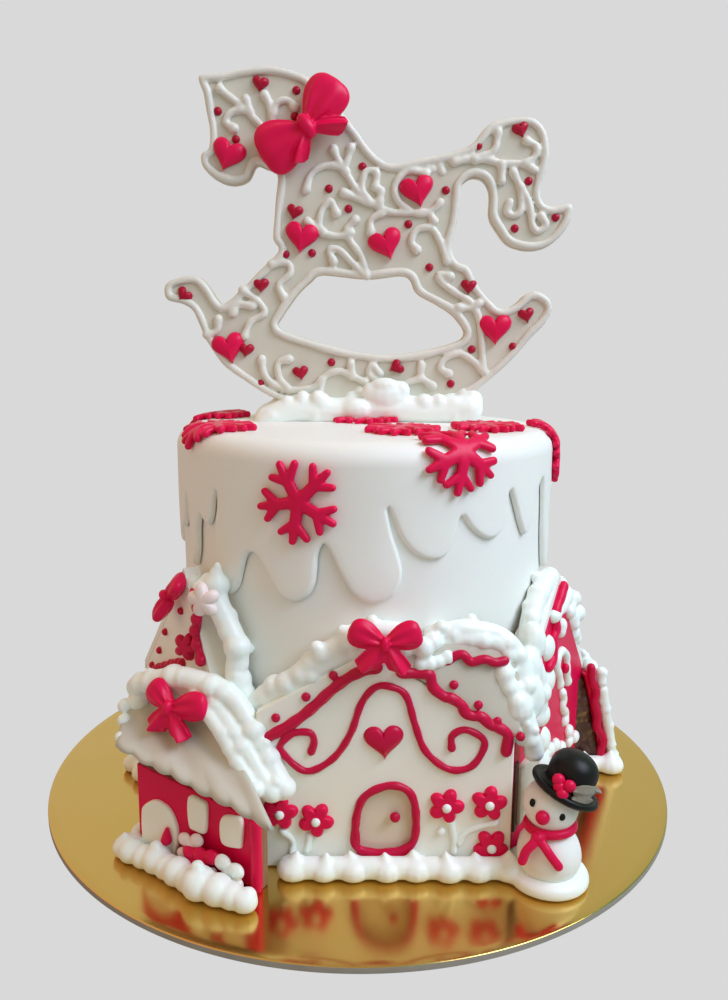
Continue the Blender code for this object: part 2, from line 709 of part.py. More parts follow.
def horse_plate():
    """The biscuit plate: flat back and front, with a raised rim inside both of its edges."""
    outer = simplified(smooth(HORSE_OUTLINE, 2, closed=True), 0.45) * MM
    hole = simplified(smooth(HORSE_HOLE, 2, closed=True), 0.45) * MM
    bm = bmesh.new()
    loops = []
    for loop, inward in ((outer, 1), (hole, -1)):
        ridge_line = offset_loop(loop, inward * RIM_WIDTH / 2)
        foot_line = offset_loop(loop, inward * RIM_WIDTH)
        levels = ((loop, HORSE_THICKNESS), (loop, 0.0), (ridge_line, -PIPING_HEIGHT), (foot_line, 0.0))
        rings = [[bm.verts.new((x, y, z)) for x, z in line] for line, y in levels]
        loops.append(rings)
        for low, high in zip(rings, rings[1:]):
            for i in range(len(low)):
                bm.faces.new((low[i - 1], low[i], high[i], high[i - 1]))
    for level in (0, 3):
        edges = []
        for rings in loops:
            ring = rings[level]
            edges += [bm.edges.get((ring[i - 1], ring[i])) for i in range(len(ring))]
        bmesh.ops.triangle_fill(bm, edges=edges, use_beauty=True)
    bmesh.ops.triangulate(bm, faces=bm.faces)
    return finished(bm)


# ---- Houses


def carrier_of(name, spec, parent):
    """The empty at the foot of a wall's middle: +X runs along the wall and +Y in to the cake."""
    turn = math.radians(spec["turn"])
    across = Vector((math.cos(turn), math.sin(turn), 0))
    outward = Vector((math.sin(turn), -math.cos(turn), 0))
    foot = Vector((CAKE_X, 0, 0)) + outward * spec["out"] + across * spec["shift"]
    made = empty(name, foot, spec["turn"])
    made.parent = parent
    return made


def wall_outline(house):
    return [(house["left"], 0.0), (house["right"], 0.0), (house["right"], house["eave"]),
            (house["peak_at"], house["peak"]), (house["left"], house["eave"])]


def roof_line(house, side, part, over, clear):
    """A point of the wall's slope and the roof's far point behind it, on a circle round the cake."""
    end = house["right"] if side else house["left"]
    x = house["peak_at"] + (end - house["peak_at"]) * part * over
    z = house["peak"] + (house["eave"] - house["peak"]) * part * over
    far_x = house["peak_at"] + (x - house["peak_at"]) * house["reach"][side]
    reach = math.sqrt(max(clear**2 - (far_x + house["shift"]) ** 2, 0.0))
    far_z = z + house["rise"][side] * min(1.0, 2 * part)
    return Vector((x, 0.0004, z)), Vector((far_x, max(house["out"] - reach, 0.003), far_z))


def roof_mesh(house, margin=0.0):
    """Two panels from the wall's slopes back to the cake; a margin makes the room that they need."""
    places = [(0, i / ROOF_STEPS) for i in range(ROOF_STEPS, 0, -1)]
    places += [(1, i / ROOF_STEPS) for i in range(ROOF_STEPS + 1)]
    bm = bmesh.new()
    rows = []
    for side, part in places:
        over = 1.06 + (20 * margin if part == 1 else 0)
        near, far = roof_line(house, side, part, over, CAKE_CLEAR)
        ahead = (far - near).normalized() * margin
        near -= ahead
        far += ahead
        lift = Vector((0, 0, 0.0006 - margin))
        thick = Vector((0, 0, ROOF_THICKNESS * 1.2 + 2 * margin))
        rows.append([bm.verts.new(p) for p in
                     (near + lift, far + lift, far + lift + thick, near + lift + thick)])
    for low, high in zip(rows, rows[1:]):
        for i in range(4):
            bm.faces.new((low[i - 1], low[i], high[i], high[i - 1]))
    bm.faces.new(rows[0])
    bm.faces.new(rows[-1])
    bmesh.ops.triangulate(bm, faces=bm.faces, quad_method="FIXED")
    return finished(bm)


def roof_snow_path(house, side):
    """Over one roof panel's far edge, from the ridge to the eave."""
    path = []
    for part in (0.0, 0.33, 0.66, 1.0):
        _, far = roof_line(house, side, part, 1.04, CAKE_CLEAR + 0.8 * SNOW_RADIUS)
        path.append(far + Vector((0, 0, SNOW_RADIUS * 0.85)))
    return path


def wave_path(start, end, waves, swing):
    """A wavy line in metres between two points in mm, across and up."""
    a, b = np.array(start, float), np.array(end, float)
    ahead = (b - a) / np.linalg.norm(b - a)
    side = np.array((-ahead[1], ahead[0]))
    parts = np.linspace(0, 1, int(waves * 4) + 1)
    points = a + parts[:, None] * (b - a) + np.sin(2 * math.pi * waves * parts)[:, None] * side * swing
    return points * MM


def arch(middle, foot, half, top, steps=4):
    """A round-headed door in metres, from its left foot over the head to its right foot."""
    points = [(middle - half, foot)]
    for i in range(steps + 1):
        t = math.pi * (1 - i / steps)
        points.append((middle + half * math.cos(t), top - half + half * math.sin(t)))
    points.append((middle + half, foot))
    return np.array(points) * MM


def front_trim():
    """The front house's piping: both slopes, the scroll, the door's frame and knob, and the dots."""
    pieces = [ridge(wave_path((-6, 82), (-47, 54), 2, 0.5), TRIM_WIDTH, 0.0016),
              ridge(wave_path((8, 80), (47, 53), 4, 1.2), TRIM_WIDTH, 0.0016)]
    half = list(FRONT_SCROLL)
    whole = [(-x, z) for x, z in reversed(half[1:])] + half
    pieces.append(ridge(np.array(whole) * MM, TRIM_WIDTH * 0.8, 0.0014))
    middle, foot, half_width, top = FRONT_DOOR
    pieces.append(ridge(arch(middle, foot, half_width, top), TRIM_WIDTH * 0.8, 0.0014, closed=True))
    knob = ball(((middle + 4) * MM, 0, 0.022), (0.0022, 0.0018, 0.0022))
    return [*pieces, knob]


def plain_trim(house):
    """Piping along both slopes of a wall, and a round-headed door frame."""
    peak = np.array((house["peak_at"], house["peak"] - 0.0048)) / MM
    pieces = []
    for end in (house["left"], house["right"]):
        foot = np.array((end * 0.93, house["eave"] - 0.0010)) / MM
        pieces.append(ridge(wave_path(peak, foot, 1, 0.6), TRIM_WIDTH, 0.0016))
    pieces.append(ridge(arch(0, 8, 9, 30), TRIM_WIDTH * 0.8, 0.0014, closed=True))
    return pieces


def wall_room(house, carrier):
    """The space that a wall and its piping take up, with a gap round it."""
    outline = [(x * 1.012, z + 2 * GAP if z else -GAP) for x, z in wall_outline(house)]
    mesh = slab(outline, WALL_THICKNESS + 0.0026)
    mesh.transform(carrier.matrix_world @ Matrix.Translation((0, -0.0021, 0)))
    return mesh


def make_house(name, house, parent, finishes, rooms):
    """A gabled wall, its roof and the snow piped where the roof meets the cake."""
    carrier = carrier_of(name + "_house", house, parent)
    wall_finish, roof_finish, snow_finish = finishes
    wall = add(name + "_wall", slab(wall_outline(house), WALL_THICKNESS), wall_finish, carrier)
    bpy.context.view_layer.update()
    rooms[name + "_wall"] = wall_room(house, carrier)
    join_all(wall, front_trim() if name == "front" else plain_trim(house))
    roof = add(name + "_roof", roof_mesh(house), roof_finish, carrier)
    others = [mesh for key, mesh in rooms.items() if key != name + "_wall"]
    cut_by(roof, [mesh for mesh in others if meets(roof, mesh)])
    rooms[name + "_roof"] = roof_mesh(house, 3 * GAP)
    rooms[name + "_roof"].transform(carrier.matrix_world)
    rooms[name + "_roof_skin"] = room(roof, 3 * GAP)
    seed = len(rooms)
    pitch, sides = (SNOW_PITCH, 6) if abs(house["turn"]) < 90 else (1.3 * SNOW_PITCH, 5)
    left = puffs(smooth(roof_snow_path(house, 0), 2), SNOW_RADIUS, seed, pitch, sides)
    right = puffs(smooth(roof_snow_path(house, 1), 2), SNOW_RADIUS, seed + 1, pitch, sides)
    snow = add(name + "_snow", left, snow_finish, carrier)
    return carrier, join_all(snow, [right])


def cut_snow(snows, rooms):
    """Takes the cake, the walls and roofs, and each earlier rope out of every rope of snow."""
    radius = (DRIP_RADIUS + GAP) / math.cos(math.pi / 24)
    cake = turned([(0, -0.01), (radius, -0.01), (radius, 0.2), (0, 0.2)], 24, (CAKE_X, 0))
    taken = []
    for snow in snows:
        mine = room(snow)
        cut_by(snow, [cake, *(mesh for mesh in [*rooms.values(), *taken] if meets(snow, mesh))])
        taken.append(mine)
    return taken


def make_front_toppings(carrier, red, rooms):
    x, z = FRONT_HEART
    mesh = slab(heart_outline(FRONT_HEART_SIZE), 0.0020, taper=0.1)
    add("front_heart", place(mesh, x * MM, -0.0020 - GAP, z * MM, -4), red, carrier)
    for i, (x, z) in enumerate(FRONT_FLOWERS):
        mesh = slab(flower_outline(FLOWER_RADIUS), FLOWER_THICKNESS, taper=0.08)
        place(mesh, x * MM, -FLOWER_THICKNESS - GAP, z * MM, 14 * i)
        flower = add(f"front_flower_{i + 1}", mesh, red, carrier)
        rooms[flower.name] = room(flower)
        dot = ball((x * MM, -FLOWER_THICKNESS - GAP, z * MM), (0.0023, 0.0014, 0.0023))
        join_all(flower, [dot])


# ---- Small houses


def make_cottage(parent, finishes, rooms):
    """The low house on the front left: a red wall with a white door and windows, and a leaning roof."""
    red, white, snow_finish = finishes
    carrier = carrier_of("cottage", COTTAGE, parent)
    half = COTTAGE["half"]
    left, right = COTTAGE["wall"]
    wall = slab([(-half, 0), (half, 0), (half, right), (-half, left)], WALL_THICKNESS)
    wall = add("cottage_wall", wall, red, carrier)
    side = box((-half, WALL_THICKNESS - 0.001, 0), (-half + 0.004, 0.019, left - 0.0005))
    join_all(wall, [side])
    door = slab(arch(-20.5, 0.5, 7.5, 23), 0.0028)
    panes = [slab([(x - 0.0046, 0.014), (x + 0.0046, 0.014), (x + 0.0042, z), (x - 0.0042, z)], 0.0028)
             for x, z in ((-0.001, 0.029), (0.0155, 0.0265))]
    knob = ball((-0.0155, -0.0018, 0.0090), (0.0028, 0.0018, 0.0034))
    join_all(wall, [knob, *(place(mesh, y=-0.0018) for mesh in (door, *panes))])
    rooms["cottage_wall"] = room(wall)
    roof = add("cottage_roof", cottage_roof(), white, carrier)
    cut_by(roof, [mesh for mesh in rooms.values() if meets(roof, mesh)])
    rooms["cottage_roof"] = room(roof)
    corners = [Vector(p) for p in COTTAGE_ROOF]
    ridge_line = [corners[3] + Vector((0.001, -0.004, 0.0085)),
                  (corners[2] + corners[3]) / 2 + Vector((0, -0.005, 0.0100)),
                  corners[2] + Vector((0.002, -0.006, 0.0100))]
    rake = [corners[2] + Vector((0.000, -0.006, 0.0095)),
            corners[2] * 0.55 + corners[1] * 0.45 + Vector((0.003, -0.003, 0.009)),
            corners[1] + Vector((-0.001, 0.001, 0.0085))]
    snow = add("cottage_snow", puffs(smooth(ridge_line, 3), 0.0063, 4), snow_finish, carrier)
    join_all(snow, [puffs(smooth(rake, 3), 0.0058, 6)])
    for i, ((x, z), finish) in enumerate(zip(COTTAGE_FLOWERS, (red, white))):
        mesh = slab(flower_outline(0.0070), FLOWER_THICKNESS, taper=0.08)
        place(mesh, x, -FLOWER_THICKNESS - 0.0018 - GAP, z, 20 * i)
        flower = add(f"cottage_flower_{i + 1}", mesh, finish, carrier)
        rooms[flower.name] = room(flower)
    make_bow("cottage_bow", COTTAGE_BOW, (-0.0115, 0.0005, 0.0685), -8, carrier, red)
    return snow


def cottage_roof(scallops=7, thickness=0.0042):
    """A leaning panel whose eave is cut in scallops."""
    left, right, back_right, back_left = (Vector(p) for p in COTTAGE_ROOF)
    eave = []
    for i in range(2 * scallops + 1):
        hang = 0.0014 if i % 2 else 0.0
        eave.append(left.lerp(right, i / (2 * scallops)) + Vector((0, -hang, -0.7 * hang)))
    bm = bmesh.new()
    loop = [bm.verts.new(p) for p in [*eave, back_right, back_left]]
    edges = [bm.edges.new((loop[i - 1], loop[i])) for i in range(len(loop))]
    bmesh.ops.triangle_fill(bm, edges=edges, use_beauty=True)
    normal = (right - left).cross(back_left - left).normalized()
    raised = bmesh.ops.extrude_face_region(bm, geom=list(bm.faces), use_keep_orig=True)
    for vert in (v for v in raised["geom"] if isinstance(v, bmesh.types.BMVert)):
        vert.co += normal * thickness
    return finished(bm)


def make_shed(parent, finishes, rooms):
    """The low house on the right: a leaning red front, a biscuit body and snow round its edge."""
    red, biscuit, snow_finish = finishes
    carrier = carrier_of("shed", SHED, parent)
    half, tall, lean, depth = SHED["half"], SHED["wall"], SHED["lean"], SHED["depth"]
    front = [(-half, 0, 0), (half, 0, 0), (half, 0.0045, 0), (-half, 0.0045, 0)]
    wall = add("shed_wall", loft([front, [(x, y + lean, tall) for x, y, z in front]]), red, carrier)
    inner, high = half - 0.004, tall * 0.88
    slope = 0.0052 + lean * 0.88
    foot = [(-inner, 0.0052, 0), (inner, 0.0052, 0), (inner, depth, 0), (-inner, depth, 0)]
    head = [(-inner, slope, high), (inner, slope, high), (inner, slope + 0.003, high),
            (-inner, slope + 0.003, high)]
    body = add("shed_body", loft([foot, head]), biscuit, carrier)
    cut_by(body, [mesh for mesh in rooms.values() if meets(body, mesh)])
    cut_by(wall, [mesh for mesh in rooms.values() if meets(wall, mesh)])
    rooms["shed_wall"] = room(wall)
    rooms["shed_body"] = room(body)
    sides = []
    for end in (-half + 0.0015, half - 0.0015):
        path = [(end, lean * part - 0.0032, tall * part) for part in (0.16, 0.58, 1.0)]
        sides.append(puffs(path, 0.0036, 9, pitch=0.011, sides=5))
    over = [(-half + 0.001, lean - 0.001, tall + 0.003), (half - 0.001, lean - 0.001, tall + 0.003)]
    snow = add("shed_snow", puffs(over, 0.0042, 11, pitch=0.011, sides=5), snow_finish, carrier)
    return join_all(snow, sides)


# ---- Snowman


def make_snowman(parent, white, red, black, rooms):
    carrier = empty("snowman_place", (*SNOWMAN, PUDDLE_HEIGHT + GAP))
    carrier.parent = parent
    profile = ((0, 0), (0.0112, 0), (0.0128, 0.006), (0.0118, 0.0115), (0.0098, 0.0158),
               (0.0076, 0.0186), (0.0097, 0.0216), (0.0108, 0.0270), (0.0090, 0.0340), (0, 0.0370))
    body = add("snowman", turned(profile, 12), white, carrier)
    join_all(body, [ball((-0.0040, -0.0100, 0.0268), (0.0028, 0.0026, 0.0028))])
    tilt = Matrix.Translation((0.0025, 0.0, 0.0345)) @ Matrix.Rotation(math.radians(HAT_TILT), 4, "Y")
    brim = ((0, -0.0016), (0.0128, -0.0016), (0.0140, 0.0), (0.0128, 0.0016), (0.0095, 0.0018),
            (0.0098, 0.0080), (0.0078, 0.0125), (0, 0.0145))
    hat = turned(brim, 12)
    hat.transform(tilt)
    hat = add("snowman_hat", hat, black, carrier)
    bpy.context.view_layer.update()
    shade = box((-0.03, -0.03, -0.0016 - GAP), (0.03, 0.03, 0.03))
    shade.transform(carrier.matrix_world @ tilt)
    cut_by(body, [shade])
    trims = [ball((-0.0045, -0.0098, 0.0036), (0.0040, 0.0028, 0.0036)),
             ball((0.0045, -0.0105, 0.0036), (0.0062, 0.0020, 0.0030))]
    for mesh in trims:
        mesh.transform(tilt)
    join_all(hat, trims)
    rings = []
    for i in range(12):
        t = 2 * math.pi * i / 12
        rings.append([((0.0104 + a) * math.cos(t), (0.0104 + a) * math.sin(t), 0.0186 + b)
                      for a, b in ((-0.0022, 0), (0, -0.0022), (0.0022, 0), (0, 0.0022))])
    scarf = add("snowman_scarf", loft(rings, closed=True), red, carrier)
    tails = [tube([(-0.003, -0.0112, 0.0182), (-0.0090, -0.0142, 0.0120), (-0.0135, -0.0148, 0.0065)],
                  (0.002, 0.0022, 0.0022), 4),
             tube([(-0.002, -0.0112, 0.0178), (0.0010, -0.0152, 0.0090), (0.0035, -0.0158, 0.0030)],
                  (0.002, 0.0022, 0.0022), 4)]
    join_all(scarf, tails)
    rooms["snowman"] = room(body)
    return body, hat, scarf


# ---- Snow at the foot of the houses and under the horse


def line_point(spec, along, off):
    """A point on the board in front of a wall, this far along it and off it."""
    turn = math.radians(spec["turn"])
    distance, shift = spec["out"] + off, spec["shift"] + along
    return (CAKE_X + distance * math.sin(turn) + shift * math.cos(turn),
            -distance * math.cos(turn) + shift * math.sin(turn))


def foot_corners():
    """The corners of the line of snow round the village, in order."""
    off = 0.0066
    back_right, back, back_left = (HOUSES[n] for n in ("back_right", "back", "back_left"))
    return [
        line_point(HOUSES["left"], -0.050, off), line_point(HOUSES["left"], -0.006, off),
        line_point(COTTAGE, -0.0372, -0.022), line_point(COTTAGE, -0.0372, off),
        line_point(COTTAGE, 0.0372, off), line_point(COTTAGE, 0.0372, -0.0125),
        line_point(HOUSES["front"], 0.050, off), line_point(HOUSES["right"], -0.046, off),
        line_point(HOUSES["right"], 0.046, off), line_point(SHED, -0.034, off),
        line_point(SHED, 0.034, off), line_point(back_right, 0.004, off),
        line_point(back_right, 0.050, off), line_point(back, -0.050, off),
        line_point(back, 0.050, off), line_point(back_left, -0.052, off),
        line_point(back_left, 0.052, off),
    ]


def foot_rope(start, end, seed):
    """A half-round rope of puffs on the board, flat underneath."""
    a, b = np.array((*start, 0.0)), np.array((*end, 0.0))
    path = spaced([a, b], FOOT_PITCH / 2 if min(a[1], b[1]) < 0 else FOOT_PITCH)
    ahead = (b - a) / np.linalg.norm(b - a)
    side = np.array((-ahead[1], ahead[0], 0.0))
    draw = random.Random(seed)
    rings = []
    for i, centre in enumerate(path):
        size = (1.10 if i % 2 else 0.90) * draw.uniform(0.95, 1.05)
        ring = [(-1.0, 0.0), (-0.6, 1.0), (0.6, 1.0), (1.0, 0.0)]
        rings.append([centre + size * (FOOT_HALF * w * side + np.array((0, 0, FOOT_HEIGHT * h)))
                      for w, h in ring])
    return loft(rings)


def make_foot_snow(parent, white, rooms):
    corners = foot_corners()
    pieces = []
    for i, corner in enumerate(corners):
        if math.dist(corner, corners[i - 1]) > 0.004:
            pieces.append(foot_rope(corners[i - 1], corner, i))
        dome = ((0, 0), (0.0060, 0), (0.0036, 0.0064), (0, 0.0064))
        pieces.append(turned(dome, 6, corner))
    puddle = ((0, 0), (PUDDLE_RADIUS, 0), (PUDDLE_RADIUS - 0.0008, 0.003),
              (PUDDLE_RADIUS - 0.0035, PUDDLE_HEIGHT), (0, PUDDLE_HEIGHT))
    snow = add("foot_snow", turned(puddle, 18, SNOWMAN), white, parent)
    join_all(snow, pieces)
    low = [mesh for mesh in rooms.values() if meets(snow, mesh)]
    return cut_by(snow, low)


def make_top_snow(parent, white, flakes):
    """The piped mound that holds the horse, with two higher puffs in front of it."""
    draw = random.Random(8)
    places = np.linspace(-0.050, 0.055, 10)
    radii = [0.0112 * (1.10 if i % 2 else 0.92) * draw.uniform(0.95, 1.05) for i in range(10)]
    radii[0] *= 0.7
    mesh = tube([(CAKE_X + x, HORSE_Y, CAKE_TOP + 0.0040) for x in places], radii, 6)
    snow = add("top_snow", mesh, white, parent)
    puff = ball((CAKE_X + 0.0085, HORSE_Y - 0.0085, CAKE_TOP + 0.0150), (0.0085, 0.0055, 0.0075))
    end = ball((CAKE_X + 0.052, HORSE_Y - 0.004, CAKE_TOP + 0.0110), (0.0065, 0.0075, 0.0075))
    join_all(snow, [puff, end])
    floor = box((-0.1, -0.1, CAKE_TOP - 0.05), (0.1, 0.1, CAKE_TOP + GAP))
    outline = offset_loop(simplified(smooth(HORSE_OUTLINE, 2, closed=True), 0.45) * MM, -0.0007)
    plate = slab(outline, HORSE_THICKNESS + PIPING_HEIGHT + 0.0020)
    plate.transform(Matrix.Translation(
        (CAKE_X, HORSE_Y - HORSE_THICKNESS / 2 - PIPING_HEIGHT - 0.0013, CAKE_TOP)))
    for mesh in (floor, plate):
        mesh.transform(parent.matrix_world)
    return cut_by(snow, [floor, plate, *(room(flake) for flake in flakes)])


def main():
    clear_scene()
    red = material("red fondant", RED)
    white = material("white fondant", WHITE)
    piped = material("piped icing", (0.88, 0.88, 0.86, 1.0), 0.55)
    cream = material("cream fondant", CREAM)
    biscuit = material("gingerbread", BISCUIT, 0.8)
    gold = material("gold foil board", (0.62, 0.42, 0.12, 1.0), 0.25, 0.9)
    black = material("black fondant", (0.01, 0.01, 0.012, 1.0))
    base = empty("on_board", (0, 0, BOARD_THICKNESS + GAP))
    bpy.context.view_layer.update()
    make_board(base, gold)
    make_cake(base, white)
    make_drip(base, white)
    flakes = make_flakes(base, red)
    make_horse(base, cream, red)
    make_top_snow(base, piped, [flakes[2]])

    rooms = {}
    snows = []
    walls = {"right": red, "back": red}
    for name, house in HOUSES.items():
        finishes = (walls.get(name, cream), white, piped)
        carrier, snow = make_house(name, house, base, finishes, rooms)
        snows.append(snow)
        if name == "front":
            make_front_toppings(carrier, red, rooms)
            make_bow("front_bow", FRONT_BOW, (-0.0009, -0.0042, 0.0950), 3, carrier, red)
        if name == "left":
            make_bow("left_bow", LEFT_BOW, (-0.0080, -0.0042, 0.1000), -30, carrier, red)
    snows.append(make_cottage(base, (red, white, piped), rooms))
    snows.append(make_shed(base, (red, biscuit, piped), rooms))
    body, hat, scarf = make_snowman(base, piped, red, black, rooms)
    rooms["shed_snow"] = cut_snow(snows, rooms)[-1]
    make_foot_snow(base, piped, rooms)


main()
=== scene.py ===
import math

import bmesh
import bpy
import numpy as np
from mathutils import Matrix, Vector
from mathutils.geometry import delaunay_2d_cdt


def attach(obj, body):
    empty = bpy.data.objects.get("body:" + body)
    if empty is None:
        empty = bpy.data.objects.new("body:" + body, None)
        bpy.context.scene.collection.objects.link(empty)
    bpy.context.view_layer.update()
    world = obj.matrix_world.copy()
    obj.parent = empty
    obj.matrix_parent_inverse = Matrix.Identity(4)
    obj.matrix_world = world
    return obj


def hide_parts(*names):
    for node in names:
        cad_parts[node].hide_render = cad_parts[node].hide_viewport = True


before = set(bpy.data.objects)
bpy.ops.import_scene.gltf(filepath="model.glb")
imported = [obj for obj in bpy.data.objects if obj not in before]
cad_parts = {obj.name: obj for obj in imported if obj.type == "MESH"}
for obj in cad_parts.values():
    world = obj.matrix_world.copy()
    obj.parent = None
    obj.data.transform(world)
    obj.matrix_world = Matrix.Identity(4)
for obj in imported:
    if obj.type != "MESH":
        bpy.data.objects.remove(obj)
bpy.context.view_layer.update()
scene = bpy.context.scene
scene.view_settings.view_transform = "Standard"
print("frame loaded,", len(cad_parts), "nodes")

mm = 0.001
# the heights and the round shape that everything stands on, in metres
table = {"boardTop": 0.0033, "cakeX": 0.002, "cakeTop": 0.1753, "dripRadius": 0.0884, "shoulder": 0.009}
boardTop = table["boardTop"] / mm

# shapes: each returns (vertices, faces)


def gridFaces(rows, columns, ringed=True):  # quads between neighbouring rows, round the ring or not
    i = np.arange(rows - 1)[:, None]
    j = np.arange(columns if ringed else columns - 1)[None, :]
    k = (j + 1) % columns
    low, high = i * columns, (i + 1) * columns
    return np.stack([low + j, low + k, high + k, high + j], axis=-1).reshape(-1, 4)


def slabFaces(rows, columns, turned=False):  # a grid, its copy behind it and the rim that joins the two
    n = rows * columns
    grid = gridFaces(rows, columns, False)
    rim = np.concatenate([np.arange(columns), np.arange(1, rows) * columns + columns - 1,
                          (rows - 1) * columns + np.arange(columns - 2, -1, -1),
                          np.arange(rows - 2, 0, -1) * columns])
    after = np.roll(rim, -1)
    if turned:
        return [grid[:, ::-1], grid + n, np.stack([rim, after, after + n, rim + n], axis=-1)]
    return [grid, grid[:, ::-1] + n, np.stack([rim, rim + n, after + n, after], axis=-1)]


def capFaces(pole, ring, flip=False):  # a fan of triangles from one point to a ring
    after = np.roll(ring, -1)
    fan = np.stack([np.full(len(ring), pole), after, ring], axis=-1)
    return fan[:, ::-1] if flip else fan


def curveThrough(points, steps, closed=False):  # a smooth line: a cubic between each two points
    p = np.asarray(points, float)
    n = len(p)
    if closed:
        a, b, c, d = (np.roll(p, s, axis=0) for s in (1, 0, -1, -2))
    else:
        padded = np.concatenate([2 * p[:1] - p[1:2], p, 2 * p[-1:] - p[-2:-1]])
        a, b, c, d = (padded[s:s + n - 1] for s in range(4))
    t = (np.arange(steps) / steps)[None, :, None]
    a, b, c, d = (q[:, None, :] for q in (a, b, c, d))
    found = 0.5 * (2 * b + (c - a) * t + (2 * a - 5 * b + 4 * c - d) * t**2 + (3 * b - a - 3 * c + d) * t**3)
    found = found.reshape(-1, p.shape[1])
    return found if closed else np.concatenate([found, p[-1:]])


def evenly(points, pitch, closed=False):  # the same line with its points one pitch apart
    p = np.asarray(points, float)
    if closed:
        p = np.concatenate([p, p[:1]])
    along = np.concatenate([[0], np.cumsum(np.linalg.norm(np.diff(p, axis=0), axis=1))])
    count = max(int(round(along[-1] / pitch)), 2) + (0 if closed else 1)
    at = np.linspace(0, along[-1], count, endpoint=not closed)
    return np.stack([np.interp(at, along, p[:, k]) for k in range(p.shape[1])], axis=1)


def smoothLine(points, pitch, closed=False, steps=8):  # a smooth curve with its points one pitch apart
    return evenly(curveThrough(points, steps, closed), pitch, closed)


def sweep(path, across, out, up=(0, 0, 1), sides=12, closed=False):
    # an ellipse carried along the path: half width "across", half height "out" towards up, round ends
    p = np.asarray(path, float)
    across = np.broadcast_to(np.asarray(across, float), len(p)).copy()
    out = across.copy() if out is None else np.broadcast_to(np.asarray(out, float), len(p)).copy()
    if closed:
        ahead = np.roll(p, -1, axis=0) - np.roll(p, 1, axis=0)
    else:
        ahead = np.gradient(p, axis=0)
    ahead /= np.linalg.norm(ahead, axis=1)[:, None] + 1e-12
    side = np.cross(ahead, np.asarray(up, float))
    flat = np.linalg.norm(side, axis=1) < 0.15
    side[flat] = np.cross(ahead[flat], (0.0, 1.0, 0.0))
    side /= np.linalg.norm(side, axis=1)[:, None]
    lift = np.cross(side, ahead)
    if not closed:
        bend = np.radians([78, 52, 26])
        first = [p[:1] - ahead[:1] * across[0] * math.sin(b) for b in bend]
        last = [p[-1:] + ahead[-1:] * across[-1] * math.sin(b) for b in bend[::-1]]
        shrink = np.cos(bend)
        ends = [p[:1] - ahead[:1] * across[0], p[-1:] + ahead[-1:] * across[-1]]
        p = np.concatenate([*first, p, *last])
        across = np.concatenate([across[0] * shrink, across, across[-1] * shrink[::-1]])
        out = np.concatenate([out[0] * shrink, out, out[-1] * shrink[::-1]])
        side = np.concatenate([np.repeat(side[:1], 3, 0), side, np.repeat(side[-1:], 3, 0)])
        lift = np.concatenate([np.repeat(lift[:1], 3, 0), lift, np.repeat(lift[-1:], 3, 0)])
    turn = 2 * np.pi * np.arange(sides) / sides
    rings = (p[:, None] + (across[:, None] * np.cos(turn))[..., None] * side[:, None]
             + (out[:, None] * np.sin(turn))[..., None] * lift[:, None])
    count = len(p)
    verts = rings.reshape(-1, 3)
    quads = gridFaces(count + (1 if closed else 0), sides)
    if closed:
        return verts, [quads % (count * sides)]
    verts = np.concatenate([verts, *ends])
    low = np.arange(sides)
    high = low + (count - 1) * sides
    return verts, [quads, capFaces(len(verts) - 2, low), capFaces(len(verts) - 1, high, True)]


def ballGrid(rows, columns):  # a unit sphere: height by the cosine of one parameter, turn by the other
    bend = np.pi * np.arange(1, rows) / rows
    turn = 2 * np.pi * np.arange(columns) / columns
    ring = np.stack([np.sin(bend)[:, None] * np.cos(turn), np.sin(bend)[:, None] * np.sin(turn),
                     np.cos(bend)[:, None] * np.ones(columns)], axis=-1).reshape(-1, 3)
    verts = np.concatenate([ring, [[0, 0, 1.0]], [[0, 0, -1.0]]])
    quads = gridFaces(rows - 1, columns)[:, ::-1]
    first = np.arange(columns)
    last = first + (rows - 2) * columns
    return verts, [quads, capFaces(len(verts) - 2, first, True), capFaces(len(verts) - 1, last)]


def balls(centres, radii, rows=7, columns=12):  # one stretched ball at every centre, all in one array
    unit, faces = ballGrid(rows, columns)
    centres = np.asarray(centres, float).reshape(-1, 3)
    radii = np.broadcast_to(np.asarray(radii, float), (len(centres), 3))
    verts = (unit[None] * radii[:, None] + centres[:, None]).reshape(-1, 3)
    shift = (np.arange(len(centres)) * len(unit))[:, None, None]
    return verts, [(f[None] + shift).reshape(-1, f.shape[1]) for f in faces]


def turnedShape(profile, columns, centre=(0, 0, 0)):  # (radius, height) pairs turned about a vertical line
    profile = np.asarray(profile, float)
    turn = 2 * np.pi * np.arange(columns) / columns
    inner = profile[1:-1]
    ring = np.stack([inner[:, :1] * np.cos(turn), inner[:, :1] * np.sin(turn),
                     inner[:, 1:] * np.ones(columns)], axis=-1).reshape(-1, 3)
    verts = np.concatenate([ring, [[0, 0, profile[0, 1]]], [[0, 0, profile[-1, 1]]]])
    verts = verts + np.asarray(centre, float)
    first = np.arange(columns)
    return verts, [gridFaces(len(inner), columns), capFaces(len(verts) - 2, first),
                   capFaces(len(verts) - 1, first + (len(inner) - 1) * columns, True)]


def gather(parts):  # several shapes as one
    verts, faces, start = [], [], 0
    for v, fs in parts:
        verts.append(v)
        faces += [f + start for f in fs]
        start += len(v)
    return np.concatenate(verts), faces


def moved(part, matrix):  # every point turned and shifted by a matrix
    m = np.array(matrix)
    return part[0] @ m[:3, :3].T + m[:3, 3], part[1]


def together(parts, place):  # several shapes as one, moved to their place
    return moved(gather(parts), place)


def inMetres(part):  # a shape that was drawn in mm
    return part[0] * mm, part[1]


def beads(places, out, radii):  # small balls at (across, up) on an upright face, standing out from it, in mm
    return inMetres(balls([(x, -out, z) for x, z in places], radii, 8, 14))


def pipedLine(points, pitch, across, out, up, sides=12):  # a rope of icing through a few points, in mm
    return sweep(smoothLine(points, pitch) * mm, across * mm, out * mm, up, sides)


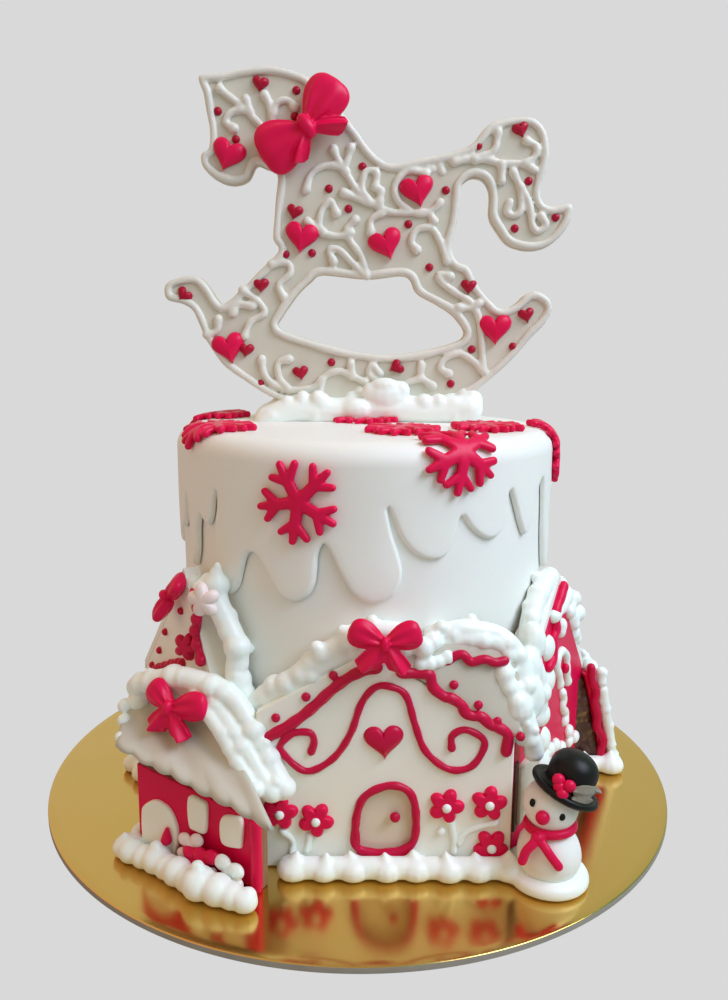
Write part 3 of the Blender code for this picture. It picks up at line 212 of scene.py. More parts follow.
def at(place, spot, *turns):  # a place inside another one: a spot in mm, then turns as (degrees, axis)
    here = place @ Matrix.Translation(tuple(v * mm for v in spot))
    for degrees, axis in turns:
        here = here @ Matrix.Rotation(math.radians(degrees), 4, axis)
    return here


def onBoard(points):  # points in mm above the board's top, as points above the ground
    return np.array(points, float) + (0, 0, boardTop)


# shapes into pieces


def newMesh(name, part):  # the arrays as a mesh
    verts, faces = part
    mesh = bpy.data.meshes.new(name)
    mesh.from_pydata(verts.tolist(), [], [f for group in faces for f in group.tolist()])
    mesh.validate()
    mesh.update()
    return mesh


def piece(name, part, look, smooth, *nodes, slot=None):  # a finished object, in the place of the named nodes
    mesh = part if isinstance(part, bpy.types.Mesh) else newMesh(name, part)
    made = bpy.data.objects.new(name, mesh)
    scene.collection.objects.link(made)
    mesh.shade_smooth()
    if smooth:
        mesh.set_sharp_from_angle(angle=math.radians(smooth))
    mesh.materials.clear()
    mesh.materials.append(look)
    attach(made, "root")
    if nodes:
        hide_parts(*nodes)
    return made


def settled(name, part, voxel, rounds):  # icing that has run together: one skin over all the shapes
    made = bpy.data.objects.new(name, newMesh(name, part))
    scene.collection.objects.link(made)
    melt = made.modifiers.new("melt", "REMESH")
    melt.mode = "VOXEL"
    melt.voxel_size = voxel * mm
    melt.adaptivity = 0.0
    ease = made.modifiers.new("ease", "SMOOTH")
    ease.factor = 0.5
    ease.iterations = rounds
    bpy.context.view_layer.update()
    graph = bpy.context.evaluated_depsgraph_get()
    mesh = bpy.data.meshes.new_from_object(made.evaluated_get(graph))
    bpy.data.objects.remove(made)
    mesh.name = name
    return mesh


def melted(name, part, voxel, rounds, look, *nodes):  # a finished object of icing that has run together
    return piece(name, settled(name, part, voxel, rounds), look, 0, *nodes)


def cutOut(name, outline, thickness, edge, holes=()):
    # an outline across and up, filled, with a rounded edge; its front is at y 0 and its back at y thickness
    curve = bpy.data.curves.new(name, "CURVE")
    curve.dimensions = "2D"
    curve.fill_mode = "BOTH"
    curve.extrude = thickness / 2 - edge
    curve.bevel_depth = edge
    curve.bevel_resolution = 2
    curve.offset = -edge
    for loop in (outline, *holes):
        loop = np.asarray(loop, float)
        spline = curve.splines.new("POLY")
        spline.points.add(len(loop) - 1)
        flat = np.concatenate([loop, np.zeros((len(loop), 1)), np.ones((len(loop), 1))], axis=1)
        spline.points.foreach_set("co", flat.ravel())
        spline.use_cyclic_u = True
    holder = bpy.data.objects.new(name, curve)
    scene.collection.objects.link(holder)
    bpy.context.view_layer.update()
    graph = bpy.context.evaluated_depsgraph_get()
    mesh = bpy.data.meshes.new_from_object(holder.evaluated_get(graph))
    bpy.data.objects.remove(holder)
    mesh.transform(Matrix.Translation((0, thickness / 2, 0)) @ Matrix.Rotation(math.pi / 2, 4, "X"))
    return mesh


def arrays(mesh):  # a mesh back as (vertices, faces)
    verts = np.empty(len(mesh.vertices) * 3)
    mesh.vertices.foreach_get("co", verts)
    return verts.reshape(-1, 3), [np.array([list(p.vertices)]) for p in mesh.polygons]


# materials


def linear(code):  # sRGB hex to linear
    value = np.array([int(code[i:i + 2], 16) for i in (1, 3, 5)]) / 255
    value = np.where(value <= 0.04045, value / 12.92, ((value + 0.055) / 1.055) ** 2.4)
    return (*value.tolist(), 1.0)


def addNode(tree, kind, settings=None, links=None):  # a node with its settings and what feeds it
    made = tree.nodes.new(kind)
    for key, value in (settings or {}).items():
        if key in made.inputs:
            made.inputs[key].default_value = value
        else:
            setattr(made, key, value)
    for key, source in (links or {}).items():
        tree.links.new(source, made.inputs[key])
    return made


def newLook(name, colours, grain, roughness, ior, sink=(0, 1), gloss=0.5, metal=0.0, detail=4.0):
    # the colour wanders between two hex values; grain is the size of that drift, the size and depth of a fine
    # relief, all in mm, and its strength; sink is the share of light that goes in and how many mm
    look = bpy.data.materials.new(name)
    look.use_nodes = True
    tree = look.node_tree
    shader = tree.nodes["Principled BSDF"]
    for key, value in {"Roughness": roughness, "IOR": ior, "Specular IOR Level": gloss, "Metallic": metal,
                       "Subsurface Weight": sink[0], "Subsurface Scale": sink[1] * mm}.items():
        shader.inputs[key].default_value = value
    driftSize, reliefSize, depth, strength = grain
    where = addNode(tree, "ShaderNodeTexCoord")
    drift = addNode(tree, "ShaderNodeTexNoise", {"Scale": 1000 / driftSize, "Detail": 3.0},
                    {"Vector": where.outputs["Object"]})
    blend = addNode(tree, "ShaderNodeMix", {"data_type": "RGBA"}, {0: drift.outputs["Fac"]})
    blend.inputs[6].default_value = linear(colours[0])
    blend.inputs[7].default_value = linear(colours[1])
    tree.links.new(blend.outputs[2], shader.inputs["Base Color"])
    fine = addNode(tree, "ShaderNodeTexNoise", {"Scale": 1000 / reliefSize, "Detail": detail},
                   {"Vector": where.outputs["Object"]})
    relief = addNode(tree, "ShaderNodeBump", {"Strength": strength, "Distance": depth * mm},
                     {"Height": fine.outputs["Fac"]})
    tree.links.new(relief.outputs["Normal"], shader.inputs["Normal"])
    return look


# rolled sugar paste: a matt skin with a soft sheen; the roofs' panels get a darker, greyer, warmer white that
# is partly painted shade
whiteFondant = newLook("rolledWhiteFondant", ("#f0f0ea", "#f6f6f2"), (60, 9, 0.25, 0.25),
                       0.5, 1.46, sink=(0.12, 4))
shadedCreamFondant = newLook("rolledCreamFondantPaintedShade", ("#c3bdae", "#d2ccbe"), (25, 7, 0.35, 0.4),
                       0.5, 1.46, sink=(0.10, 3))
# piped royal icing: the brightest white; on the horse it has dried to a duller cream
pipedIcing = newLook("pipedRoyalIcing", ("#f2fbf5", "#f8fffa"), (14, 3.2, 0.25, 0.3),
                     0.36, 1.48, sink=(0.15, 3))
horseIcing = newLook("pipedCreamIcing", ("#dedbd0", "#e8e6dd"), (14, 3.2, 0.25, 0.3),
                     0.42, 1.47, sink=(0.1, 2))
# flooded icing levels itself to satin: cream on the houses, greyer on the horse, warmer and darker on the
# sunk door, where the darker tone is partly painted shade of the recess
floodIcing = newLook("floodedCreamIcing", ("#f6f6ea", "#fbfbf2"), (40, 12, 0.3, 0.3),
                     0.42, 1.47, sink=(0.1, 3))
horseFlood = newLook("floodedGreyIcing", ("#d4cfbf", "#dfdacc"), (25, 6, 0.2, 0.3),
                     0.45, 1.47, sink=(0.08, 3))
doorShadeIcing = newLook("floodedDoorIcingPaintedShade", ("#e4dac4", "#ece3d0"), (25, 6, 0.2, 0.3),
                    0.45, 1.47, sink=(0.08, 3))
# baked biscuit: dry and finely pitted
gingerbread = newLook("bakedGingerbread", ("#7d5a41", "#a07a58"), (6, 1.1, 0.5, 0.7),
                      0.85, 1.45, detail=6.0)
paleBiscuit = newLook("bakedButterBiscuit", ("#c9b79c", "#ddd3c0"), (8, 1.3, 0.4, 0.6),
                      0.7, 1.45, detail=6.0)
# a very dark brown: gingerbread's brown darkened with painted shade, for the lumps inside the shed and the
# plate in the right house's gap
shadeDarkBrown = newLook("shadeDarkBrown", ("#2a1510", "#6b4736"), (9, 2.0, 0.5, 0.5), 0.4, 1.5)
# reds: rolled raspberry paste, deeper piped lines, and dark beads on the horse
redFondant = newLook("raspberryFondant", ("#dc0744", "#e80f54"), (18, 2.4, 0.2, 0.35),
                     0.36, 1.46, gloss=0.25)
redIcing = newLook("pipedRedIcing", ("#c0053a", "#d00b48"), (9, 1.8, 0.2, 0.4),
                   0.32, 1.48, gloss=0.28)
darkRed = newLook("darkRedSugarPaste", ("#a6042a", "#ba0938"), (5, 1.2, 0.25, 0.5),
                  0.36, 1.47, gloss=0.30)
# small things in paste: black hat and eyes, grey-green leaf, pale pink flowers
blackFondant = newLook("blackFondant", ("#080808", "#121110"), (10, 2.0, 0.2, 0.4),
                       0.42, 1.46, gloss=0.32)
leafPaste = newLook("greyGreenLeafPaste", ("#837c6e", "#a49b8a"), (4, 1.2, 0.3, 0.5),
                    0.5, 1.46)
blushIcing = newLook("palePinkPaste", ("#efdbd9", "#f5e7e4"), (8, 2.0, 0.2, 0.3),
                     0.45, 1.46, sink=(0.1, 2))
# gold foil follows the card in long shallow waves; the card shows grey at its cut edge
goldFoil = newLook("goldFoil", ("#e0b866", "#e8c275"), (60, 22, 0.5, 0.12),
                   0.17, 1.5, metal=1.0)
cardEdge = newLook("greyCardEdge", ("#8d867b", "#a39c90"), (10, 0.8, 0.2, 0.4), 0.8, 1.45)
print("materials made")

# board

board = {"radius": 0.1500, "thickness": 0.003, "roundness": 0.0005}


def makeBoard(plan):  # a flat disc with a rounded upper edge, turned about its middle
    radius, thick, edge = plan["radius"], plan["thickness"], plan["roundness"]
    bend = np.linspace(0, np.pi / 2, 5)
    low = [(0, 0), (radius - edge, 0), (radius, edge), (radius, thick - edge)]
    top = np.stack([radius - edge + edge * np.cos(bend), thick - edge + edge * np.sin(bend)], axis=1)
    rings = np.linspace(0.97 * radius, 0.2 * radius, 24)
    skin = np.concatenate([low, top[1:], np.stack([rings, np.full(24, thick)], axis=1), [(0, thick)]])
    made = piece("goldBoard", turnedShape(skin, 240), goldFoil, 40, "board")
    made.data.materials.append(cardEdge)
    isCard = np.array([abs(p.normal.z) < 0.5 or p.normal.z < -0.5 for p in made.data.polygons])
    made.data.polygons.foreach_set("material_index", isCard.astype(np.int32))


makeBoard(board)
print("board made")

# cake and its poured layer

cake = {
    "radius": 0.0862, "unevenness": 0.0005, "dripThickness": 0.0022, "rim": 0.0019,
    # the lower edge of the poured icing in front, (turn in degrees from the front, mm above the board)
    "edge": (
        (-62.5, 144), (-61.3, 136), (-59.8, 124.2), (-57.3, 113.5), (-54.9, 120.7), (-54.4, 131),
        (-53.0, 137.0), (-51.4, 135.4), (-48.7, 133.8), (-46.6, 138), (-45.5, 146), (-44.3, 149.6),
        (-44.2, 143), (-45.2, 134), (-44.6, 120), (-42.6, 110), (-39.8, 106.5), (-36.4, 110.5),
        (-34.6, 118.5), (-33.2, 124.3), (-31.1, 126.2), (-28.3, 123.3), (-25.3, 116.3), (-22.4, 110.3),
        (-18.3, 108.3), (-14.8, 110.9), (-12.9, 115.8), (-12.3, 121.7), (-11.9, 128.5), (-10.3, 132.5),
        (-8.4, 128.3), (-5.9, 120.5), (-2.9, 113.1), (0.3, 109.9), (3.4, 109.3), (7.2, 111.6),
        (9.3, 116.4), (9.8, 122.2), (8.8, 129.0), (6.9, 138.1), (5.8, 147.3), (7.3, 142.6), (9.6, 134.7),
        (13.0, 128.9), (16.8, 126.1), (20.6, 126.3), (23.0, 129.6), (24.3, 135.1), (25.2, 140.4),
        (26.3, 142.4), (29.1, 137.4), (32.4, 133.5), (36.0, 131.7), (39.6, 133.6), (41.5, 140.1),
        (42.2, 147.0), (43.2, 150.6), (45.5, 144.0), (48.2, 135.6), (50.8, 130.3), (54.2, 132.8),
        (56.8, 140.4), (59.0, 149.0), (62.0, 152.0), (64.0, 143.0), (65.4, 125.0), (68.4, 110.5),
        (72.4, 116.0), (74.2, 132.0), (77.0, 147.0)),
    "hiddenDrips": 12,
    # one drip from dip to dip, as shares of its width and its drop: a slanting left side, a steep right side
    "drip": ((0, 0), (0.13, 0.13), (0.28, 0.50), (0.42, 0.88), (0.61, 1.0), (0.78, 0.90), (0.875, 0.66),
             (0.905, 0.41), (0.93, 0.17)),
}


def dripEdge(plan):  # the drips in front, then one shape of drip at random depths round the back, as one line
    draw = np.random.default_rng(5)
    line = [np.array(plan["edge"], float)]
    start, end = plan["edge"][-1][0], plan["edge"][0][0] + 360
    step = (end - start) / plan["hiddenDrips"]
    dips = start + step * np.arange(plan["hiddenDrips"])
    highs = np.concatenate([[147.0], draw.uniform(138, 150, plan["hiddenDrips"] - 1), [144.0]])
    shape = np.array(plan["drip"], float)
    for i, dip in enumerate(dips):
        tip = draw.uniform(108, 130)
        drop = highs[i] + (highs[i + 1] - highs[i]) * shape[:, 0]
        one = np.stack([dip + shape[:, 0] * step, drop - (drop - tip) * shape[:, 1]], axis=1)
        line.append(one[1:] if i == 0 else one)
    line = np.concatenate(line)
    flat = np.stack([table["dripRadius"] * np.radians(line[:, 0]), line[:, 1] * mm], axis=1)
    period = 2 * np.pi * table["dripRadius"]
    spare, steps = 3, 8  # points past each end, so that the curve meets itself without a kink
    looped = np.concatenate([flat[-spare:] - (period, 0), flat, flat[:spare] + (period, 0)])
    fine = curveThrough(looped, steps)[spare * steps:-spare * steps + 1]
    fine = fine[:len(flat) * steps + 1]
    fine[-1] = fine[0] + (period, 0)
    return evenly(fine, 0.0008)


def pouredWall(plan, edge, top, count):
    # rows parallel to the edge round its rim, then a filled sheet up to the start of the rounded shoulder
    rim, thick = plan["rim"], plan["dripThickness"]
    period = 2 * np.pi * table["dripRadius"]
    loop = edge[:-1]
    ahead = np.roll(loop, -1, axis=0) - np.roll(loop, 1, axis=0)
    ahead[0] = loop[1] - (loop[-1] - (period, 0))
    ahead[-1] = loop[0] + (period, 0) - loop[-2]
    ahead /= np.linalg.norm(ahead, axis=1)[:, None]
    inward = np.stack([-ahead[:, 1], ahead[:, 0]], axis=1)
    depth = rim * np.array([0.0, 0.06, 0.2, 0.42, 0.7, 1.0])
    rows = [loop + inward * d for d in depth]
    rise = thick * np.sqrt(np.clip(1 - (1 - depth / rim) ** 2, 0, 1))
    last = np.concatenate([rows[-1], rows[-1][:1] + (period, 0)])
    roof = np.stack([np.linspace(last[0, 0], last[-1, 0], count + 1), np.full(count + 1, top)], axis=1)
    inner = []
    for s in np.arange(last[0, 0] + 0.002, last[-1, 0] - 0.001, 0.0025):  # columns of points above the edge
        near = np.abs(last[:, 0] - s) < 0.0022
        low = last[near, 1].max() + 0.0015
        if low <= top - 0.002:
            heights = np.arange(low, top - 0.001, 0.003)
            inner.append(np.stack([np.full_like(heights, s), heights], axis=1))
    points = np.concatenate([last, roof, *inner])
    m = len(last)
    edges = [(i, i + 1) for i in range(m - 1)] + [(m + i, m + i + 1) for i in range(count)]
    edges += [(0, m), (m - 1, m + count)]
    found = delaunay_2d_cdt([Vector((x * 1000, y * 1000)) for x, y in points], edges, [], 1, 1e-5)
    flat = np.array([(v[0] / 1000, v[1] / 1000) for v in found[0]])
    tris = np.array(found[2])
    first = np.concatenate(rows)
    lift = np.concatenate([np.repeat(rise, len(loop)), np.full(len(flat), thick)])
    return np.concatenate([first, flat]), lift, [gridFaces(len(depth), len(loop)), tris + len(first)]


def makeCake(plan):
    # the poured layer is a sheet wound round a cylinder under a turned crown; the cake is a wavy cylinder
    outer, shoulder, x0 = table["dripRadius"], table["shoulder"], table["cakeX"]
    top = table["cakeTop"] - table["boardTop"]
    wall = top - shoulder
    count = 220
    edge = dripEdge(plan)
    flat, lift, faces = pouredWall(plan, edge, wall, count)
    turn = flat[:, 0] / outer
    swellBy, swellAt, swellOver, sunk = 0.0004, 0.118, 0.012, 0.0002  # it bulges a little above the drips
    swell = swellBy * np.exp(-((flat[:, 1] - swellAt) / swellOver) ** 2) * (lift / plan["dripThickness"]) ** 2
    radius = outer - plan["dripThickness"] + lift + swell - sunk
    side = np.stack([x0 + radius * np.sin(turn), -radius * np.cos(turn), flat[:, 1] + table["boardTop"]],
                    axis=1)
    turn = edge[0, 0] / outer + 2 * np.pi * np.arange(count) / count
    bend = np.linspace(0, np.pi / 2, 13)
    flatRings = (outer - shoulder) * np.array([0.97, 0.9, 0.75, 0.55, 0.3, 0.12])
    crown = 0.0006
    radii = np.concatenate([outer - sunk - shoulder + shoulder * np.cos(bend), flatRings])
    heights = np.concatenate([wall + shoulder * np.sin(bend), top + crown * (1 - (flatRings / outer) ** 2)])
    dome = np.stack([x0 + radii[:, None] * np.sin(turn), -radii[:, None] * np.cos(turn),
                     (heights + table["boardTop"])[:, None] * np.ones(count)], axis=-1).reshape(-1, 3)
    middle = [[x0, 0, table["boardTop"] + top + crown]]
    rows = len(radii)
    domeFaces = [gridFaces(rows, count), capFaces(rows * count, np.arange(count) + (rows - 1) * count, True)]
    mesh = newMesh("pouredIcing", gather([(side, faces), (np.concatenate([dome, middle]), domeFaces)]))
    joinSeams(mesh)
    piece("pouredIcing", mesh, whiteFondant, 60, "drip_icing")

    columns, levels = 240, 40
    turn = 2 * np.pi * np.arange(columns) / columns
    level = np.linspace(0, wall + 0.004, levels)
    wander = np.sin(3 * turn + 0.4)[:, None] * np.cos(level * 40 + 1) + 0.5 * np.sin(7 * turn)[:, None]
    wide = plan["radius"] + plan["unevenness"] * wander - 0.0006
    verts = np.stack([x0 + wide * np.sin(turn)[:, None], -wide * np.cos(turn)[:, None],
                      np.broadcast_to(level + table["boardTop"], wide.shape)], axis=-1).reshape(-1, 3)
    verts = np.concatenate([verts, [[x0, 0, table["boardTop"]]], [[x0, 0, level[-1] + table["boardTop"]]]])
    low = np.arange(columns) * levels
    i = np.arange(levels - 1)
    seam = np.stack([low[-1] + i, i, i + 1, low[-1] + i + 1], axis=-1)
    body = (verts, [gridFaces(columns, levels, False), seam, capFaces(len(verts) - 2, low),
                    capFaces(len(verts) - 1, low + levels - 1, True)])
    fixOutside(piece("cakeSide", body, whiteFondant, 55, "cake_body"))


def joinSeams(mesh, within=0.00002):  # points in one place become one, and faces all look out
    bm = bmesh.new()
    bm.from_mesh(mesh)
    bmesh.ops.remove_doubles(bm, verts=bm.verts, dist=within)
    bmesh.ops.recalc_face_normals(bm, faces=bm.faces)
    bm.to_mesh(mesh)
    bm.free()


def fixOutside(made):  # faces point out again where a shape was built turned over
    bm = bmesh.new()
    bm.from_mesh(made.data)
    if bm.calc_volume(signed=True) < 0:
        bmesh.ops.reverse_faces(bm, faces=bm.faces)
        bm.to_mesh(made.data)
    bm.free()


makeCake(cake)
print("cake made")

# snowflakes

flakes = {
    "reach": 0.0174, "thickness": 0.0030, "arm": 0.0025, "finger": 0.0018, "hub": 0.0048,
    # how it lies, turn in degrees, distance along the surface from the top's middle in m, own turn, arms
    "places": (("edge", -110, 0.0805, 20, 6), ("edge", -58, 0.0750, 8, 6), ("flat", -170, 0.0035, 0, 6),
               ("flat", 19, 0.0485, 25, 6), ("edge", 25.4, 0.0885, -10, 6), ("flat", 61, 0.0620, 5, 6),
               ("edge", 83, 0.0935, 0, 6), ("side", -16.5, 0.1075, -9.4, 5), ("side", 165, 0.1080, 15, 5)),
}


def onCake(turn, run, lift):  # the place at this turn and distance along the surface, lifted off it
    outer, shoulder, top = table["dripRadius"], table["shoulder"], table["cakeTop"]
    flat = outer - shoulder
    arc = shoulder * np.pi / 2
    bend = np.clip((run - flat) / shoulder, 0, np.pi / 2)
    radius = np.where(run <= flat, run, flat + (shoulder + lift) * np.sin(bend))
    radius = np.where(run > flat + arc, outer + lift, radius)
    height = np.where(run <= flat, top + lift, top - shoulder + (shoulder + lift) * np.cos(bend))
    height = np.where(run > flat + arc, top - shoulder - (run - flat - arc), height)
    return np.stack([table["cakeX"] + radius * np.sin(turn), -radius * np.cos(turn), height], axis=-1)


def flakeShape(plan, arms, seed):  # plump arms from a small hub, each parting into three fingers half way out
    draw = np.random.default_rng(seed)
    parts = [balls([(0, 0, 0)], (plan["hub"], plan["hub"], plan["thickness"] * 0.62), 9, 24)]
    steps = np.linspace(0, 1, 11)[:, None]
    for i in range(arms):
        way = 2 * math.pi * i / arms + draw.uniform(-0.04, 0.04)
        ahead = np.array([math.sin(way), math.cos(way), 0])
        aside = np.array([ahead[1], -ahead[0], 0])
        reach = plan["reach"] * draw.uniform(0.96, 1.03)
        wide = np.interp(steps[:, 0], (0, 0.55, 0.7, 1), (1.0, 1.0, 0.78, 0.62)) * plan["arm"]
        parts.append(sweep(ahead * reach * 0.92 * steps, wide, plan["thickness"] * 0.62, (0, 0, 1), 12))
        for hand in (-1, 1):
            root = ahead * reach * 0.50
            tip = ahead * reach * draw.uniform(0.75, 0.80) + aside * hand * reach * draw.uniform(0.29, 0.33)
            wide = np.interp(steps[:, 0], (0, 1), (1.15, 0.85)) * plan["finger"]
            parts.append(sweep(root + (tip - root) * steps, wide, plan["thickness"] * 0.60, (0, 0, 1), 12))
    return gather(parts)


def makeFlakes(plan):  # each flake is made flat, then laid on the top, over its edge or on the side
    for i, (kind, turn, run, spin, arms) in enumerate(plan["places"]):
        mesh = settled(f"flake{i + 1}", flakeShape(plan, arms, 20 + i), 0.42, 3)
        x, y, z = arrays(mesh)[0].T
        s = math.radians(spin)
        x, y = x * math.cos(s) + y * math.sin(s), -x * math.sin(s) + y * math.cos(s)
        half = plan["thickness"] / 2
        lift = np.clip(z, -half, half * 0.96) + half + 0.0002  # flat below, nearly flat on top
        lift = np.where(z > half * 0.96, lift + (z - half * 0.96) * 0.35, lift)
        way = math.radians(turn)
        if kind == "flat":
            centre = onCake(np.array(way), np.array(run), 0.0)
            placed = np.stack([centre[0] + x * math.cos(way) + y * math.sin(way),
                               centre[1] + x * math.sin(way) - y * math.cos(way), centre[2] + lift], axis=-1)
        elif kind == "edge":
            placed = onCake(way + x / np.minimum(run + y, table["dripRadius"]), run + y, lift)
        else:
            placed = onCake(way + x / table["dripRadius"], run + y, lift)
        mesh.vertices.foreach_set("co", placed.ravel())
        fixOutside(piece(f"snowflake{i + 1}", mesh, redFondant, 0, f"snowflake_{i + 1}"))


makeFlakes(flakes)
print("snowflakes made")

# rocking horse biscuit, in mm across from the cake's middle and up from its top

horse = {
    "y": 0.0091, "thickness": 0.0058, "rimHalf": 1.9, "rimInset": 1.8, "lineHalf": 1.75, "ballHalf": 2.4,
    "outline": (
        (-77.3, 156.8), (-66.8, 158.1), (-56.3, 160.2), (-43.2, 161.1), (-31.5, 158.3), (-26.2, 155.3),
        (-15.7, 145.6), (-4.5, 133.2), (0.2, 127), (5.6, 122), (12.3, 119.5), (25.6, 122.2), (38.8, 124.8),
        (48, 128.6), (55.7, 136.8), (66.1, 140), (75.4, 140.1), (81.5, 135.2), (83.9, 126.4), (83, 117.6),
        (80.7, 109.9), (81.7, 103.5), (86.5, 101), (91.8, 102.3), (95.8, 102.4), (95.5, 95.9), (91.1, 88.1),
        (84.6, 82.9), (76.6, 81.5), (67, 84), (61.3, 90.5), (57.7, 96.9), (57.5, 104.6), (56.6, 109.7),
        (53.8, 113.5), (48.4, 114.1), (43.9, 110.3), (43.4, 104.5), (42.3, 94.2), (39.9, 82.5), (42.8, 76),
        (48.3, 73.4), (52.7, 65.5), (58.4, 58.9), (64, 54.2), (70.8, 56.3), (76.1, 61), (81.5, 62.4),
        (87.1, 59.1), (88.7, 53.8), (84.9, 47), (79.6, 41.6), (73.1, 33.4), (66.4, 26.5), (57, 18.1),
        (48.8, 12.5), (36, 7.5), (20, 4.5), (0, 3.5), (-20, 4.5), (-34, 7.6), (-44.8, 11), (-57.3, 18.6),
        (-68.3, 26.7), (-76.3, 37.6), (-79.6, 45.7), (-82.8, 52.4), (-88.2, 55.7), (-95, 57.6),
        (-95.5, 64.3), (-89.2, 67.6), (-81, 68.4), (-75.7, 64.4), (-70.4, 56.5), (-67, 55.8),
        (-59.3, 62.6), (-51, 70.6), (-42.7, 78.5), (-41.4, 81.8), (-44, 85.7), (-43.2, 98.7), (-41.7, 114),
        (-47.7, 117.8), (-51.7, 119), (-53.7, 115.2), (-55.8, 112), (-62.5, 110.1), (-70.5, 112.5),
        (-76.4, 117.6), (-76.9, 123.9), (-73.5, 125.2), (-72.7, 132.7), (-73.8, 140.2), (-74.9, 148.8)),
    "hole": (
        (-21, 69.5), (-0.6, 67.7), (18.5, 69.2), (24.1, 61.3), (33.8, 56), (42.1, 50.7), (47.2, 41.3),
        (34.3, 35.8), (13.6, 32.2), (-7.2, 34.1), (-28, 39.3), (-41.7, 44.6), (-40.3, 50), (-33.4, 59.5),
        (-26.5, 66.2)),
    "lines": (
        ((-67.6, 151.3), (-63.8, 148.3), (-57.9, 144), (-51.4, 137.9), (-46.2, 132.9)),
        ((-55.9, 147.1), (-54.6, 143.4), (-53.7, 141.3)),
        ((-61.4, 134.3), (-65.3, 137.1), (-63.2, 140.9), (-57.9, 142.5)),
        ((-47.3, 149), (-45.4, 145.3), (-44.1, 139.2), (-43.5, 134.2)),
        ((-33.5, 143.6), (-36.8, 146.6), (-41.4, 145.4), (-43.5, 140.4)),
        ((-7.7, 126.3), (-9, 121.9), (-10.3, 116.8), (-7.6, 111.8), (-3.6, 106.7), (4.5, 101), (12.6, 97.8),
         (27.4, 98), (31.5, 94.1)),
        ((-28.4, 107.8), (-26.4, 114.2), (-21, 118), (-14.4, 118.3), (-9.7, 115.6)),
        ((-15.7, 125.6), (-13, 120), (-10.3, 115.6)),
        ((3.7, 109.3), (4.3, 115.7), (-1, 115.6), (-2.3, 108), (0.5, 103.5)),
        ((-11, 106.6), (-4.9, 104.1), (1.8, 101.9)),
        ((6.4, 107.4), (5.8, 102.3)),
        ((27, 115.2), (19, 116.4), (13.1, 110.7), (14.6, 103), (23.4, 97.3), (30.7, 99.3), (34, 102.5)),
        ((-14.3, 97.4), (-17, 102.8), (-21, 98.9), (-22.4, 92.4), (-20.4, 88.5)),
        ((-27.8, 93.6), (-21, 88.5), (-12.9, 87), (-7.5, 88.6)),
        ((-5.5, 94.5), (-9.6, 89.9), (-7.5, 84.7), (-2.7, 78.2), (0.1, 69)),
        ((-15.6, 75.5), (-17.6, 80.7), (-12.9, 80.8), (-7.4, 75.6), (-1.3, 69.7)),
        ((1.9, 88.7), (1.9, 94.5), (7.2, 97.5)),
        ((23.7, 81.1), (20.9, 84.9), (23.5, 90.2), (30.3, 90.9), (34.5, 85.1), (38.1, 75.9)),
        ((39.6, 69.1), (34.1, 70), (36.3, 66), (41.8, 62.1), (48.8, 58.1), (51.6, 54.8), (54.6, 46.8),
         (56.7, 25)),
        ((44.1, 54.7), (50.3, 54.8), (53.6, 56.8)),
        ((40.3, 120.4), (52.2, 123), (58.7, 126.2), (60, 133.7)),
        ((49.5, 121.7), (56.2, 121.4), (62.9, 120), (72.2, 120), (77, 117.5)),
        ((73.2, 130.1), (77.9, 127.6), (77.4, 123.2), (72.9, 120)),
        ((62.3, 119.7), (62.5, 112.3)),
        ((67.7, 116.2), (71.4, 108.6), (71.7, 99.6), (69.2, 97), (65.3, 98.5), (66.5, 102.8)),
        ((71.3, 109.9), (75.7, 102.2), (77.4, 93.2), (80.2, 90), (83.9, 93), (81.3, 96.9)),
        ((-44.8, 73.9), (-37.4, 74.7), (-36, 70.1), (-41.5, 64.7), (-39.5, 59.1)),
        ((-58.6, 61.9), (-51.2, 56.6), (-48.5, 51.3), (-55.4, 47.2), (-58.3, 40.4)),
        ((-63.6, 51.4), (-60.8, 55.2), (-54.2, 54.6)),
        ((-70.6, 48.4), (-71.4, 43), (-76.2, 41)),
        ((-50.2, 29.6), (-48.9, 22.8), (-44.7, 18), (-37.8, 15.3), (-26.6, 16), (-21.1, 20.2)),
        ((-37, 29.7), (-41.9, 28.3), (-41.9, 21.4), (-37.8, 15.9)),
        ((-22.5, 14), (-19.7, 21.6), (-12.7, 24.4), (-5.8, 21.7), (-0.2, 19)),
        ((-7.2, 27.9), (-6.5, 21.7)),
        ((6.7, 23.2), (3.2, 27.3), (1.5, 23.2), (5.4, 19.8)),
        ((26.8, 27.5), (26.9, 22), (32.6, 17.6)),
        ((18.1, 10.9), (18.6, 17.8), (26.2, 21.3)),
        ((40.1, 23.5), (35.9, 26.2), (38.5, 31), (45.4, 33.1), (51.7, 29.8), (56.7, 25))),
    "hearts": ((-64.3, 123.4, 20), (-30.5, 87.1, 8), (23.2, 108.2, -14), (8.8, 84.2, -20), (61.6, 45.5, -3),
               (-66, 35.6, -14)),
    "heartSize": 0.0160,
    "smallHearts": ((-49.2, 153.9, 10), (70.3, 135.1, -20), (-33.8, 98.1, 15), (-86.7, 59.7, 40),
                    (76.4, 51.7, -15), (15, 26.7, 60), (-31.5, 23.6, -10), (48.6, 64.8, 0), (-50.1, 64.6, 0),
                    (-57.7, 34.3, 10)),
    "dots": ((-32.8, 151), (-68.9, 141.8), (-60.8, 129.7), (-33.6, 139.9), (-2.3, 118.2), (-17.9, 108.3),
             (-8.7, 99.4), (51.1, 127.8), (36.6, 108), (75, 112.4), (88.3, 96.3), (69.4, 91.2), (19.4, 92.7),
             (29.7, 73.2), (-38.3, 78.6), (-25.8, 79.3), (-51, 17.9), (-16.6, 28.5), (50.9, 35.2),
             (70.6, 36.7), (41.2, 18.7)),
    "cluster": ((30, 117.5), (33.5, 119), (27.5, 118.5), (34.8, 116.2), (32, 121.2)),  # beads on the back
}
horsePlace = Matrix.Translation((table["cakeX"], horse["y"], table["cakeTop"]))


